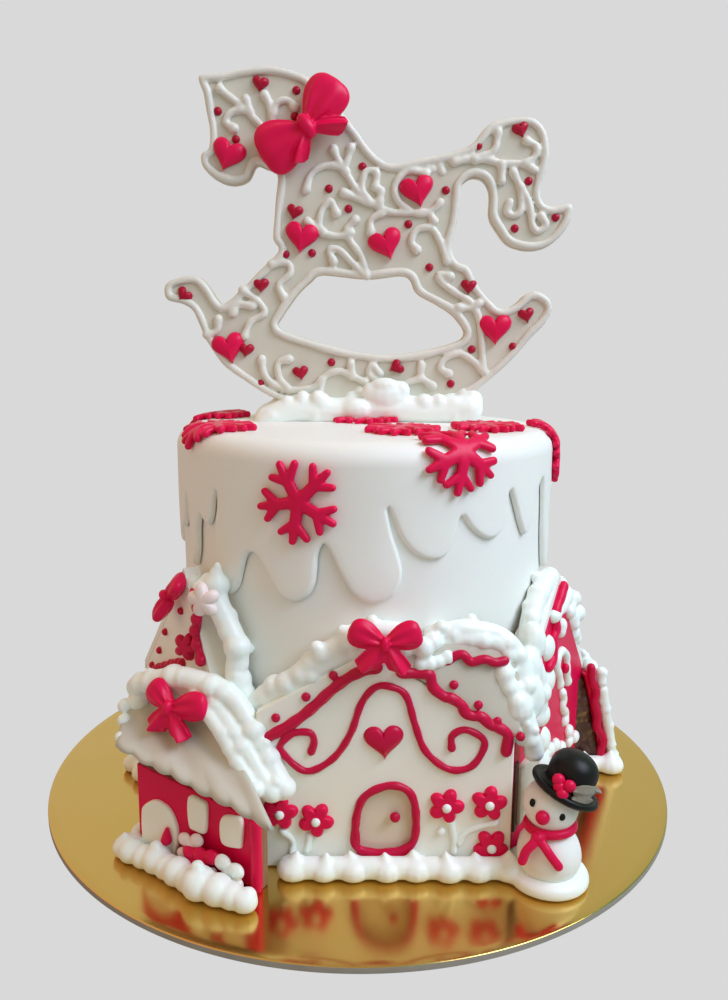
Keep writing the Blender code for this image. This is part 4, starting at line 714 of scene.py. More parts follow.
def heartOutline(size, points=60):  # across is sixteen times a sine cubed, up is a row of four cosines
    t = 2 * np.pi * np.arange(points) / points
    x = 16 * np.sin(t) ** 3
    z = 13 * np.cos(t) - 5 * np.cos(2 * t) - 2 * np.cos(3 * t) - np.cos(4 * t)
    return np.stack([x, z], axis=1) * size / 32


def inset(loop, by):  # the closed loop moved sideways by a distance
    ahead = np.roll(loop, -1, axis=0) - np.roll(loop, 1, axis=0)
    ahead /= np.linalg.norm(ahead, axis=1)[:, None]
    return loop + np.stack([ahead[:, 1], -ahead[:, 0]], axis=1) * by


def puffed(outline, height, rings=8, power=0.5, dip=0.0, level=1.0):
    # a pillow over an outline: rings shrink to the middle while they rise by a power of the way in to "level"
    part = np.linspace(0, 1, rings)[:-1]
    middle = outline.mean(axis=0)
    loops = middle + (outline - middle)[None] * (1 - part[:, None, None]) ** 0.8
    rise = height * (1 - (1 - np.minimum(part / level, 1)) ** 2) ** power
    n = len(outline)
    rise = np.broadcast_to(rise[:, None], loops.shape[:2])
    verts = np.stack([loops[..., 0], -rise, loops[..., 1]], axis=-1)
    front = verts.reshape(-1, 3)
    back = front[:n].copy()
    back[:, 1] = 0.0004
    ends = [[middle[0], -height + dip, middle[1]], [middle[0], 0.0004, middle[1]]]
    verts = np.concatenate([back, front, ends])
    rows = len(part) + 1
    first = np.arange(n)
    return verts, [gridFaces(rows, n)[:, ::-1], capFaces(len(verts) - 1, first, True),
                   capFaces(len(verts) - 2, first + (rows - 1) * n)]


def strokes(lines, half, endHalf, height, seed=1, pitch=0.7):
    # piped lines on an upright face: the width wanders a little and grows to a ball at both ends
    draw = np.random.default_rng(seed)
    parts = []
    for line in lines:
        path = smoothLine(line, pitch)
        n = len(path)
        wander = 1 + 0.06 * np.sin(np.arange(n) * 0.55 + draw.uniform(0, 6))
        start = np.exp(-((np.arange(n) * pitch) / (endHalf * 0.9)) ** 2)
        stop = np.exp(-(((n - 1 - np.arange(n)) * pitch) / (endHalf * 0.9)) ** 2)
        width = half * wander + (endHalf - half) * np.maximum(start, stop * 0.75)
        place = np.stack([path[:, 0], np.full(n, -height * 0.3), path[:, 1]], axis=1) * mm
        parts.append(sweep(place, width * mm, width * mm * 0.95, (0, -1, 0), 10))
    return gather(parts)


def makeHorse(plan):
    # a flat biscuit, a coat on each face, round rims along its edges and scrolls on its front
    outer = smoothLine(plan["outline"], 1.2, True, 6)
    hole = smoothLine(plan["hole"], 1.2, True, 6)
    thick = plan["thickness"]
    plate = cutOut("biscuitPlate", outer * mm, thick, 0.0011, (hole * mm,))
    plate.transform(horsePlace)
    piece("horseBiscuit", plate, paleBiscuit, 40, "horse_cookie")
    coats = []
    for y in (-0.0006, thick - 0.0006):
        coat = cutOut("coat", inset(outer, 1.1) * mm, 0.0012, 0.0005, (inset(hole, -1.1) * mm,))
        coat.transform(horsePlace @ Matrix.Translation((0, y, 0)))
        coats.append(arrays(coat))
    piece("horseFloodedIcing", gather(coats), horseFlood, 40)

    draw = np.random.default_rng(3)
    lines = []
    for loop, way in ((outer, 1), (hole, -1)):
        path = evenly(inset(loop, way * plan["rimInset"]), 1.0, True)
        n = len(path)
        wander = 0.10 * np.sin(np.arange(n) * 0.23 + 1) * np.sin(np.arange(n) * 0.071)
        half = plan["rimHalf"] * (1 + wander + draw.normal(0, 0.02, n)) * mm
        for y in (-0.0007, thick + 0.0007):
            place = np.stack([path[:, 0] * mm, np.full(n, y), path[:, 1] * mm], axis=1)
            lines.append(sweep(place, half, half * 0.9, (0, -1, 0), 12, True))
    scrolls = strokes(plan["lines"], plan["lineHalf"], plan["ballHalf"], 1.6)
    lines.append(moved(scrolls, Matrix.Translation((0, -0.0006, 0))))
    lines.append(inMetres(balls([(x, 0, z) for x, z in plan["cluster"]], (2.3, 2.0, 2.3))))
    melted("horsePiping", together(lines, horsePlace), 0.72, 1, horseIcing)

    for i, place in enumerate(plan["hearts"]):
        hearts = heartsOnHorse(plan["heartSize"], 60, [place], 0.0034, 1.6)
        piece(f"horseHeart{i + 1}", hearts, redFondant, 60, f"horse_heart_{i + 1}")
    piece("horseSmallHearts", heartsOnHorse(0.0078, 36, plan["smallHearts"], 0.0026, 0.8), darkRed, 60)
    piece("horseDots", moved(beads(plan["dots"], 0.6, (1.95, 1.8, 1.95)), horsePlace), darkRed, 0)


def heartsOnHorse(size, points, places, height, out):  # places as (across, up, turn); out is mm from the face
    parts = []
    for x, z, roll in places:
        spot = at(horsePlace, (x, -out, z), (roll, "Y"))
        parts.append(moved(puffed(heartOutline(size, points), height), spot))
    return gather(parts)


makeHorse(horse)
print("horse made")

# bows


def bowLoop(length, tall, deep, side):
    # a plump teardrop: it grows from the knot and closes in a blunt end, and its creases fade outwards
    rows, columns = 30, 80
    u = np.linspace(0, 1, rows)[1:-1, None]
    t = 2 * np.pi * np.arange(columns)[None] / columns
    close = np.clip(1 - (np.clip(u - 0.66, 0, 1) / 0.34) ** 2.6, 0, 1) ** (1 / 2.4)
    high = (0.26 + 0.74 * np.sin(np.minimum(u / 0.68, 1) * np.pi / 2) ** 1.2) * close
    thick = (0.60 + 0.40 * np.sin(np.minimum(u / 0.5, 1) * np.pi / 2) - 0.18 * u) * close
    crease = 1 + 0.24 * (1 - u) ** 1.3 * np.cos(7 * t + 0.5)
    z = 0.5 * high * np.cos(t) * (1 + 0.4 * (crease - 1)) * tall
    y = 0.5 * thick * np.sin(t) * crease * deep
    body = np.stack([side * u * length * np.ones_like(t), y, z], axis=-1).reshape(-1, 3)
    verts = np.concatenate([body, [[0, 0, 0]], [[side * length, 0, 0]]])
    faces = [gridFaces(rows - 2, columns)[:, ::-1], capFaces(len(verts) - 2, np.arange(columns), True),
             capFaces(len(verts) - 1, np.arange(columns) + (rows - 3) * columns)]
    if side < 0:
        faces = [f[:, ::-1] for f in faces]
    return verts, faces


def bowTail(wide, length, deep, side):  # a broad ribbon end: one fold down its middle and a rounded foot
    rows, columns = 16, 21
    v = np.linspace(0, 1, rows)[:, None]
    s = np.linspace(-1, 1, columns)[None]
    x = s * wide / 2 * (0.40 + 0.60 * np.sin(np.minimum(v * 1.15, 1) * np.pi / 2))
    z = -v * length * (1 - 0.16 * s**2) - 0.10 * length * side * s * v
    y = -deep * (0.28 + 0.18 * np.sin(v * 2.4) + 0.20 * np.cos(4.7 * s) * v - 0.20 * s**2 * v)
    front = np.stack([x, y, z * np.ones_like(s)], axis=-1)
    verts = np.concatenate([front.reshape(-1, 3), (front + np.array([0, 0.0024, 0])).reshape(-1, 3)])
    return verts, slabFaces(rows, columns, True)


def makeBow(name, plan, place, node):
    # loops as (length, tall, lifted by degrees), tails as (width, length, spread by degrees), left then right
    deep = plan["deep"] * mm
    parts = []
    for side, loop, tail in zip((-1, 1), plan["loops"], plan.get("tails", (None, None))):
        shape = bowLoop(loop[0] * mm, loop[1] * mm, deep, side)
        parts.append(moved(shape, Matrix.Rotation(math.radians(-side * loop[2]), 4, "Y")))
        if tail:
            shape = bowTail(tail[0] * mm, tail[1] * mm, deep, side)
            parts.append(moved(shape, Matrix.Rotation(math.radians(-side * tail[2]), 4, "Y")))
    knot = plan["knot"]
    parts.append(balls([(0, -deep * 0.32, 0)], (knot[0] / 2 * mm, 0.34 * deep, knot[1] / 2 * mm), 12, 18))
    melted(name, together(parts, place), plan.get("voxel", 0.35), 2, redFondant, node)


horseBow = {"loops": ((25, 24, 4), (25, 20.5, 21)), "tails": ((9, 17, 53), (8, 18.5, 56)), "deep": 12,
            "knot": (7, 12), "voxel": 0.4, "at": ((-27.5, -6.6, 133.5), (-36, "Y"))}
makeBow("horseNeckBow", horseBow, at(horsePlace, *horseBow["at"]), "horse_bow")

# snow under the horse


def snowLumps(path, radius, seed, pitch=6.2, jitter=1.0, squash=0.92, base=0.82):
    # a thick line of icing in mm: a bar along the path, round lumps of uneven size on it and a few small ones
    draw = np.random.default_rng(seed)
    bar = sweep(smoothLine(path, 2.0) * mm, radius * base * mm, None, (0, 0, 1), 12)
    spots = smoothLine(path, pitch)
    n = len(spots)
    spots = spots + draw.uniform(-1, 1, (n, 3)) * jitter
    size = radius * draw.uniform(0.80, 1.05, n)[:, None] * np.array([1, 1, squash])
    lumps = balls(spots * mm, size * mm)
    beside = spots + draw.normal(0, radius * 0.32, (n, 3)) + (0, 0, radius * 0.25)
    small = balls(beside * mm, size * mm * draw.uniform(0.48, 0.62, (n, 1)))
    return gather([bar, lumps, small])


def shells(path, radius, seed, pitch, bar=0.66):
    # icing piped in short squeezes: a low round body, a smaller one on it and a little drawn-up tip
    draw = np.random.default_rng(seed)
    spots = evenly(path, pitch)
    n = len(spots)
    spots = spots + np.stack([draw.uniform(-0.6, 0.6, n), draw.uniform(-0.6, 0.6, n), np.zeros(n)], axis=1)
    size = radius * draw.uniform(0.9, 1.10, n)[:, None]
    lean = draw.uniform(-1.5, 1.5, (n, 3)) * (1, 1, 0.3)
    parts = [sweep(evenly(path, 2.5) * mm + (0, 0, 0.0036), radius * bar * mm, radius * bar * 1.04 * mm)]
    # the heap from its foot to its tip: how far it leans, how high it is, and its three radii as shares
    for drift, up, share in ((0.0, 3.2, (1.08, 1.0, 0.80)), (0.6, radius * 0.85, (0.80, 0.72, 0.56)),
                             (1.0, radius * 1.18, (0.46, 0.42, 0.42)),
                             (1.3, radius * 1.52, (0.20, 0.20, 0.26))):
        parts.append(balls((spots + lean * drift + (0, 0, up)) * mm, size * share * mm))
    return gather(parts)


topSnow = {
    # mm from the cake's middle: how far back, how high and how thick each line is, and its random seed
    "lines": ((13.5, 5.5, 8.4, 4), (4.5, 4.8, 7.2, 9)),
    # both lines' course: across, added height, and the share of the line's own height
    "course": ((-47, 0.5, 0), (-33, 1, 1), (-12, 0, 1), (10, 2, 1), (30, 1, 1), (50, 2, 1)),
    # the block before the horse's foot, small peaks, and the heap at the right end
    "lumps": (((10, 1.5, 13.0), (10.5, 5.0, 7.0)), ((3, 2, 15.0), (5, 4, 4.5)), ((16.5, 2, 15.5), (5, 4, 5)),
              ((9, 1, 18.2), (7, 4, 3.6)), ((42, 3, 8.5), (8, 5, 5)), ((52, 8, 10), (5.5, 5.5, 6)),
              ((-44, 4, 3), (7, 7, 4.5)), ((-4, 0.5, 6), (8, 5, 6)), ((-30, 2, 10), (4, 3.6, 5.5)),
              ((-21, 1.5, 9), (5, 4, 5.5)), ((-37, 3, 7.5), (4.5, 4, 5.5)), ((28, 1.5, 9.5), (5, 4, 5)),
              ((35, 2, 9.5), (4.5, 4, 5))),
}


def makeTopSnow(plan):  # lines and lumps of icing, cut off flat where they meet the cake
    x0, z0 = table["cakeX"] / mm, table["cakeTop"] / mm
    parts = []
    for y, up, radius, seed in plan["lines"]:
        path = [(x0 + x, y, z0 + up * raised + more) for x, more, raised in plan["course"]]
        parts.append(snowLumps(path, radius, seed, 8.5, 1.1, 0.95, 0.95))
    for centre, size in plan["lumps"]:
        parts.append(balls(np.array([(centre[0] + x0, centre[1], centre[2] + z0)]) * mm, np.array(size) * mm))
    whole = gather(parts)
    whole[0][:, 2] = np.maximum(whole[0][:, 2], table["cakeTop"] - 0.0006)
    melted("topSnow", whole, 0.7, 12, pipedIcing, "top_snow")


makeTopSnow(topSnow)
print("horse's snow made")

# houses

wallThickness = 0.005
# each house: its node, its turn round the cake, how far out and aside its wall stands, and its outline in mm
village = {
    "front": {"node": "front", "turn": 0, "out": 0.0937, "shift": 0.009, "left": -51, "right": 51, "eave": 56,
              "peakAt": 0, "peak": 88, "band": 10},
    "left": {"node": "left", "turn": -57, "out": 0.0958, "shift": 0, "left": -47, "right": 45, "eave": 54,
             "peakAt": 6, "peak": 110},
    "right": {"node": "right", "turn": 60, "out": 0.0968, "shift": 0, "left": -45, "right": 50, "eave": 53,
              "peakAt": 6, "peak": 105},
    "backRight": {"node": "back_right", "turn": 120, "out": 0.0958, "shift": 0, "left": -47, "right": 47,
                  "eave": 54, "peakAt": 0, "peak": 94},
    "back": {"node": "back", "turn": 180, "out": 0.0958, "shift": 0, "left": -49, "right": 49, "eave": 56,
             "peakAt": 0, "peak": 106},
    "backLeft": {"node": "back_left", "turn": 241, "out": 0.0958, "shift": 0, "left": -47, "right": 47,
                 "eave": 54, "peakAt": 0, "peak": 92},
}


def standAt(plan):  # the foot of a wall's middle: x along the wall, y in to the cake, z up
    way = math.radians(plan["turn"])
    foot = Vector((table["cakeX"] + plan["out"] * math.sin(way) + plan["shift"] * math.cos(way),
                   -plan["out"] * math.cos(way) + plan["shift"] * math.sin(way), table["boardTop"]))
    return Matrix.Translation(foot) @ Matrix.Rotation(way, 4, "Z")


def makeWall(name, plan, look, holes=()):  # a gable of one thickness
    band = plan.get("band", 0)  # how far the wall covers the roof's edge on its left
    left, right, eave, peakAt, peak = (plan[key] for key in ("left", "right", "eave", "peakAt", "peak"))
    corners = [(left, 0), (right, 0), (right, eave), (peakAt, peak)]
    if band:
        corners.append((peakAt - band / 2, peak + band / 2))
    corners = np.array([*corners, (left, eave + band)], float) * mm
    mesh = cutOut(name + "Wall", corners, wallThickness, 0.0007, holes)
    mesh.transform(standAt(plan))
    piece(name + "Wall", mesh, look, 35, plan["node"] + "_wall")


def wavy(start, end, waves, swing, pitch=1.0):  # a line in mm that swings from side to side as a sine
    a, b = np.array(start, float), np.array(end, float)
    n = max(int(np.linalg.norm(b - a) / pitch), 8)
    t = np.linspace(0, 1, n)
    ahead = (b - a) / np.linalg.norm(b - a)
    aside = np.array([-ahead[1], ahead[0]])
    return a + t[:, None] * (b - a) + np.sin(2 * np.pi * waves * t)[:, None] * aside * swing


def ring(middle, foot, half, top):  # a door frame: up, over in half a circle, down and in to the sill
    t = np.pi * (1 - np.arange(9) / 8)
    head = np.stack([middle + half * np.cos(t), top - half + half * np.sin(t)], axis=1)
    return [(middle - half * 0.93, foot), *head.tolist(), (middle + half * 0.93, foot), (middle, foot - 1.0)]


def flowerOutline(radius, points=60):  # five round petals: the radius swings five times in a turn
    t = 2 * np.pi * np.arange(points) / points
    r = radius * (0.62 + 0.40 * np.abs(np.cos(2.5 * t)) ** 0.95)
    return np.stack([r * np.sin(t), r * np.cos(t)], axis=1)


frontDecor = {
    "leftTrim": ((-4, 85.5), (-9, 84.1), (-13.9, 81.8), (-20.8, 76.6), (-29.2, 68.4), (-37.7, 61.6),
                 (-49, 54.7)),
    "rightTrim": ((6, 83.8), (12, 83.2), (16.7, 82.8), (18.2, 77.7), (22.4, 74), (25.4, 73.2), (29.5, 70.4),
                  (31, 67.4), (33.8, 66), (37.4, 65.6), (41, 62.3), (44.2, 61.2), (48.2, 57.9),
                  (47.7, 51.1)),
    "scroll": ((-29.3, 50.4), (-28.2, 54.5), (-29.9, 58.3), (-36.3, 57.9), (-41.2, 53.5), (-40.6, 49.5),
               (-31.4, 42), (-20.8, 47.4), (-13.8, 58.1), (-9.6, 70.8), (-4.1, 77.5), (2.1, 77.6),
               (7.8, 73.9), (11.5, 62), (15.9, 50.8), (25.3, 43.3), (34.5, 44.9), (39.1, 54.8), (31.9, 60),
               (26.3, 57.7), (26.1, 52.4)),
    "door": ((-11.3, 9.5), (-11.4, 21.3), (-7.9, 31.4), (2, 36.1), (9.9, 33.1), (12.6, 23.1), (11, 10.5),
             (-0.5, 6.8)),
    "doorstep": ((-9.5, 7.4), (-4, 5.4), (0, 5.0), (5, 5.6), (9.5, 8.0)),
    "dots": ((-20.7, 82.2), (-31.3, 73.2), (-43.2, 64.4), (26.3, 78.7), (36.1, 70.5), (43.7, 63.8)),
    "knob": (4.2, 22.4),
    "flowers": ((-41.9, 24.1, 10), (-27.5, 21.1, 30), (24.6, 27.6, 20), (41.7, 28.8, 8), (43.1, 10.1, 36)),
    "stems": (((26.3, 21.1), (27.9, 14.6), (28.3, 8.0)), ((22.8, 16.5), (22.4, 16.2)),
              ((44.3, 20.4), (37.5, 18.4), (32.5, 15.6), (30.3, 11.6)), ((-30, 14), (-31, 8)),
              ((-41, 16), (-37, 12), (-37, 7))),
    "bow": {"loops": ((14.8, 11.4, 21), (14.6, 11.4, 18)), "tails": ((8.8, 13.6, 39), (8.2, 13.6, 31)),
            "deep": 7.5, "knot": (3.6, 6.4), "voxel": 0.33},
    # a spot on the wall in mm and a turn there
    "bowAt": ((-0.9, -7.2, 98.2),),
    "heartAt": ((-0.7, -0.3, 55.4), (-4, "Y")),
}


def makeFrontHouse(plan, decor):  # the wall, its sunk door, and everything that is piped or laid on it
    place = standAt(plan)
    opening = smoothLine(decor["door"], 0.8, True)
    makeWall("front", plan, floodIcing, (opening * mm,))
    leaf = cutOut("frontDoor", inset(opening, -1.2) * mm, 0.0028, 0.0008)
    leaf.transform(at(place, (0, 2, 0)))
    # the door leaf's darker, warmer colour is partly painted shade of the recess
    piece("frontDoor", leaf, doorShadeIcing, 40)
    doorFrame = [*decor["door"], *decor["door"][:2]]
    lines = []
    # each line with half its width, its ends' half width and its height
    for i, (line, half, endHalf, height) in enumerate((
            (decor["leftTrim"], 2.3, 2.5, 1.2), (decor["rightTrim"], 2.3, 2.6, 1.2),
            (decor["scroll"], 1.5, 1.8, 1.2), (doorFrame, 1.7, 1.7, 1.2),
            (decor["doorstep"], 1.8, 1.8, 1.0))):
        lines.append(strokes([line], half, endHalf, height, 2 + i))
    lines += [beads(decor["dots"], 0.4, (1.9, 1.5, 1.9)), beads([decor["knob"]], 0.4, (2.2, 1.9, 2.2))]
    melted("frontPiping", together(lines, place), 0.42, 1, redIcing)
    heart = moved(puffed(heartOutline(0.0158), 0.0022), at(place, *decor["heartAt"]))
    piece("frontHeart", heart, redIcing, 60, "front_heart")
    for i, (x, z, roll) in enumerate(decor["flowers"]):
        spot = at(place, (x, -0.3, z), (roll, "Y"))
        petals = puffed(flowerOutline(0.0073), 0.0022, 16, 0.5, 0.0002, 0.34)
        piece(f"frontFlower{i + 1}", moved(petals, spot), redFondant, 60, f"front_flower_{i + 1}")
        middle = balls([(0, -0.0022, 0)], (0.0019, 0.0014, 0.0019), 8, 14)
        piece(f"frontFlower{i + 1}Middle", moved(middle, spot), pipedIcing, 0)
    piece("frontStems", moved(strokes(decor["stems"], 1.35, 1.8, 1.0, 8), place), pipedIcing, 0)
    makeBow("frontBow", decor["bow"], at(place, *decor["bowAt"]), "front_bow")


makeFrontHouse(village["front"], frontDecor)
print("front house made")

frontSnow = {  # paths and lumps in mm from the board's middle and up from its top
    # each path with its radius
    "paths": (
        (((-3, -90.5, 96.5), (-9, -90.5, 92.0), (-17, -89.5, 86.0), (-25, -88, 78.5), (-34, -85.5, 71.5),
          (-41.5, -83, 65.5), (-46.4, -80, 62.5)), 5.6),
        (((-4, -90.5, 90.5), (-12, -90.5, 86.0), (-20, -89.5, 79.5), (-27, -88, 73.5)), 4.6),
        (((-4, -90, 95.0), (1, -90, 97.5), (7, -90, 98.6), (13, -90, 98.4), (19, -90, 97.0)), 5.8),
        (((0, -90, 92), (8, -90, 93.5), (17, -90, 93)), 5.6),
        (((30.5, -85, 94.8), (35.1, -85, 97.3), (39.8, -84.5, 98.2), (45, -84, 97.6), (50.3, -83, 96.8),
          (55, -82, 95.3), (59.1, -81.5, 92.6), (62.8, -81.5, 88.4), (65.4, -82, 82.2),
          (66.3, -84, 74.2)), 4.8),
        (((32.5, -86, 92.2), (39, -85.5, 94.8), (47, -85, 94.6), (55, -83.5, 92.4), (60, -83, 88)), 4.6),
        (((57.3, -88, 82.0), (58.6, -88, 77.2), (61.2, -88, 72.3), (63.7, -88, 66.8), (66.8, -88, 61.8),
          (68.2, -88, 56.8), (70.2, -88, 52.4), (71.6, -87, 47.4)), 4.8)),
    # where each lump is and its three radii
    "lumps": (((24.4, -93, 86.8), (3.2, 3.0, 3.2)), ((27.8, -93, 86.8), (3.0, 2.8, 3.0)),
              ((31.2, -92, 87.5), (3, 2.8, 2.8)), ((34.9, -91, 88.7), (3.2, 2.8, 3.0)),
              ((25.4, -93, 93.4), (4.2, 4.0, 4.4)), ((28.8, -91, 95.2), (4.0, 4, 3.8)),
              ((63.7, -88, 66.8), (6.4, 6, 7.0)), ((67, -86, 57), (6.0, 5, 7.5)),
              ((70, -80, 68), (6.5, 6, 10)), ((69, -76, 79), (6.5, 6, 9)), ((72, -70, 88), (6, 6, 9))),
    "redLine": ((34.5, -91.4, 87.2), (38, -91.4, 89.6), (41, -91.4, 90.0), (44.1, -91.6, 87.2),
                (49.3, -91.2, 88.2), (53.5, -90.4, 86.6), (57.5, -89.4, 87.0)),
    "redDot": (63.6, -96.5, 58.6),
}


def makeFrontSnow(plan):  # snow along both sides of the front roof and the red line in it
    parts = []
    for i, (path, radius) in enumerate(plan["paths"]):
        parts.append(snowLumps(onBoard(path), radius, 31 + i))
    for centre, size in plan["lumps"]:
        parts.append(balls(onBoard([centre]) * mm, np.array(size, float) * mm))
    melted("frontSnow", gather(parts), 0.7, 6, pipedIcing, "front_snow")
    line = pipedLine(onBoard(plan["redLine"]), 0.7, 1.9, 1.7, (0, -1, 0))
    dot = inMetres(balls(onBoard([plan["redDot"]]), (1.9, 1.7, 1.9), 8, 14))
    piece("frontWavyLine", gather([line, dot]), redIcing, 0)


makeFrontSnow(frontSnow)

frontSlope = {  # the smooth right half of the front roof, mm in the house's frame, from the rake to the snow
    "thickness": 2.2,
    "rake": ((2, -0.4, 87.5), (12, -0.4, 82.0), (25, -0.4, 73.5), (38, -0.4, 65.5), (51, -0.2, 57.0)),
    "snow": ((17, 7.0, 93.5), (24.1, 7.7, 97.3), (34, 8.7, 97.6), (44, 10.0, 95.3), (51.8, 10.2, 88.4),
             (54.4, 9.0, 80.0), (55.3, 6.0, 68.0)),
    "bulge": 2.0,
}


def makeFrontSlope(plan):
    # a sheet between two lines that bulges out by a sine on its way from one to the other
    rows, columns = 16, 60
    near, far = (smoothLine(plan[line], 0.5, steps=10) for line in ("rake", "snow"))
    t = np.linspace(0, 1, columns)
    near, far = (line[np.round(t * (len(line) - 1)).astype(int)] for line in (near, far))
    v = np.linspace(0, 1, rows)[:, None, None]
    top = near * (1 - v) + far * v - np.array([0, plan["bulge"], 0]) * np.sin(np.pi * v) ** 0.6
    low = top + (0, plan["thickness"], -plan["thickness"] * 0.3)
    verts = np.concatenate([top.reshape(-1, 3), low.reshape(-1, 3)]) * mm
    part = moved((verts, slabFaces(rows, columns)), standAt(village["front"]))
    # its darker, greyer cream is partly painted shade
    fixOutside(piece("frontSlope", part, shadedCreamFondant, 40))


makeFrontSlope(frontSlope)


def roofPoint(plan, side, part, clear=89.0):  # where a roof's slope meets the cake, a part of the way down
    end = plan["right"] if side else plan["left"]
    x = plan["peakAt"] + (end - plan["peakAt"]) * part * 1.04
    z = plan["peak"] + (plan["eave"] - plan["peak"]) * part * 1.04
    reach = math.sqrt(max(clear**2 - (x + plan["shift"] / mm) ** 2, 0))
    return (x, max(plan["out"] / mm - reach, 3), z)


def plainPiping(plan, seed):  # the houses behind have rakes, a round-headed door, two windows and a scroll
    peak = (plan["peakAt"], plan["peak"] - 5)
    lines = []
    for i, side in enumerate(("left", "right")):
        rake = wavy(peak, (plan[side] * 0.93, plan["eave"] - 1), 6, 0.8)
        lines.append(strokes([rake], 1.7, 2.0, 1.2, seed + i))
    lines.append(strokes([ring(0, 8, 9, 30)], 1.5, 1.5, 1.1, seed + 2))
    for x in (-26, 26):
        pane = ((x - 6, 24), (x - 6, 38), (x + 6, 38), (x + 6, 24), (x - 6, 24))
        lines.append(strokes([pane, ((x, 24), (x, 38)), ((x - 6, 31), (x + 6, 31))], 1.1, 1.3, 1.0, seed + 3))
    scroll = ((-14, 46), (-17, 50), (-12, 54), (-6, 49), (0, 60), (6, 49), (12, 54), (17, 50), (14, 46))
    lines.append(strokes([scroll], 1.2, 1.6, 1.0, seed + 4))
    lines.append(beads([(4, 18)], 0.4, (1.9, 1.7, 1.9)))
    return lines


rakeSnow = {  # lines of snow in each house's own frame, mm: along the wall, in from its face, up
    "left": (((8, 4, 107.5), (-4, 5, 98), (-16, 6, 88), (-27, 6, 76), (-36, 6, 66), (-44, 7, 58)),),
    "right": (((6, 5, 108), (-4, 6, 103), (-12, 6, 97), (-19, 5, 88), (-20, 3, 78), (-18, 1, 69),
               (-17, 1, 60), (-19, 1, 52)),
              ((16, 4, 102), (22, 3, 94), (28, 3, 85), (36, 4, 75), (45, 5, 64))),
}
rakeRadius = {"left": 4.6, "right": 5.6}
plainRadius = 5.4


def makeSideHouse(name, plan, wallLook, seed, lines):  # a wall with its piping, and the snow for its rakes
    place = standAt(plan)
    makeWall(name, plan, wallLook)
    trim = redIcing if wallLook is floodIcing else pipedIcing
    melted(name + "Piping", together(lines, place), 0.5, 1, trim)
    if name in rakeSnow:
        paths = rakeSnow[name]
    else:
        shares = (0.0, 0.25, 0.5, 0.75, 1.0)
        paths = [np.array([roofPoint(plan, side, p) for p in shares]) + (0, 0, 5) for side in (0, 1)]
    radius = rakeRadius.get(name, plainRadius)
    return place, [snowLumps(np.array(p, float), radius, seed + 7 + i) for i, p in enumerate(paths)]


leftDecor = {
    # the snow's right line, in mm from the board's middle and up from its top
    "rope": ((-59.3, -70.5, 112), (-58.2, -72.0, 106), (-55.6, -74.0, 100), (-52.5, -76.5, 95),
             (-49.8, -78.5, 89.5), (-48.8, -79.4, 84), (-49.6, -78.8, 78), (-49.0, -79.2, 72),
             (-46.0, -80.5, 68)),
    "lumps": (((-58.5, -71, 115), (3.4, 3.4, 4.5)), ((-57.8, -71.5, 119), (1.8, 1.8, 2.6)),
              ((-63.5, -70, 109.5), (5.5, 4.5, 4.5)), ((-66.5, -67.5, 107), (4.5, 4.0, 4.0))),
    # on the wall, in mm across and up
    "garland": ((22, 108.0), (24, 102.5), (22.5, 97.0), (20.5, 91.5), (22, 86), (26, 80.5)),
    "beads": ((-29.3, 58.2), (-25, 60.5), (-21, 62.0), (-17, 63.9), (-12.5, 65.6), (-9, 67.5), (-5, 68.8),
              (0, 71), (4.4, 72.2)),
    "dots": ((4, 95.5), (-16.7, 80.0), (-25.5, 68.5), (-36.4, 57.8)),
    # name, look, place, own turn and size of two flat flowers
    "flowers": (("leftGarlandBow", redIcing, (15.5, -2.6, 83.5), 20, 0.0125),
                ("leftApexFlower", blushIcing, (37.5, -3.5, 109.5), -10, 0.0145)),
    "bow": {"loops": ((12.4, 13.5, 6), (12.4, 13.5, 6)), "deep": 7.5, "knot": (3.4, 6.0)},
    "bowAt": ((2.7, -5.0, 101.8), (27, "Z"), (-52, "Y"), (-60, "X")),
}


def makeLeftHouse(plan, decor):  # the tall house with its garland and the thick rope of snow
    lines = [strokes([decor["garland"]], 2.1, 2.6, 1.2, 60), strokes([ring(0, 8, 9, 30)], 1.5, 1.5, 1.1, 61),
             beads(decor["garland"], 1.0, (3.0, 2.4, 2.8)), beads(decor["beads"], 1.0, (2.2, 2.2, 2.2)),
             beads(decor["dots"], 0.6, (1.8, 1.6, 1.8))]
    place, snow = makeSideHouse("left", plan, floodIcing, 50, lines)
    rope = snowLumps(onBoard(decor["rope"]), 5.9, 64, 7.0, 0.8)
    centres, radii = zip(*decor["lumps"])
    lumps = balls(onBoard(centres) * mm, np.array(radii) * mm)
    whole = gather([together(snow, place), rope, lumps])
    melted("leftSnow", whole, 0.75, 7, pipedIcing, "left_snow")
    for name, look, spot, roll, tall in decor["flowers"]:
        shape = puffed(flowerOutline(tall / 2), 0.0032, 8, 0.45)
        piece(name, moved(shape, at(place, spot, (35, "Z"), (roll, "Y"))), look, 60, slot="piped_icing")
    makeBow("leftBow", decor["bow"], at(place, *decor["bowAt"]), "left_bow")


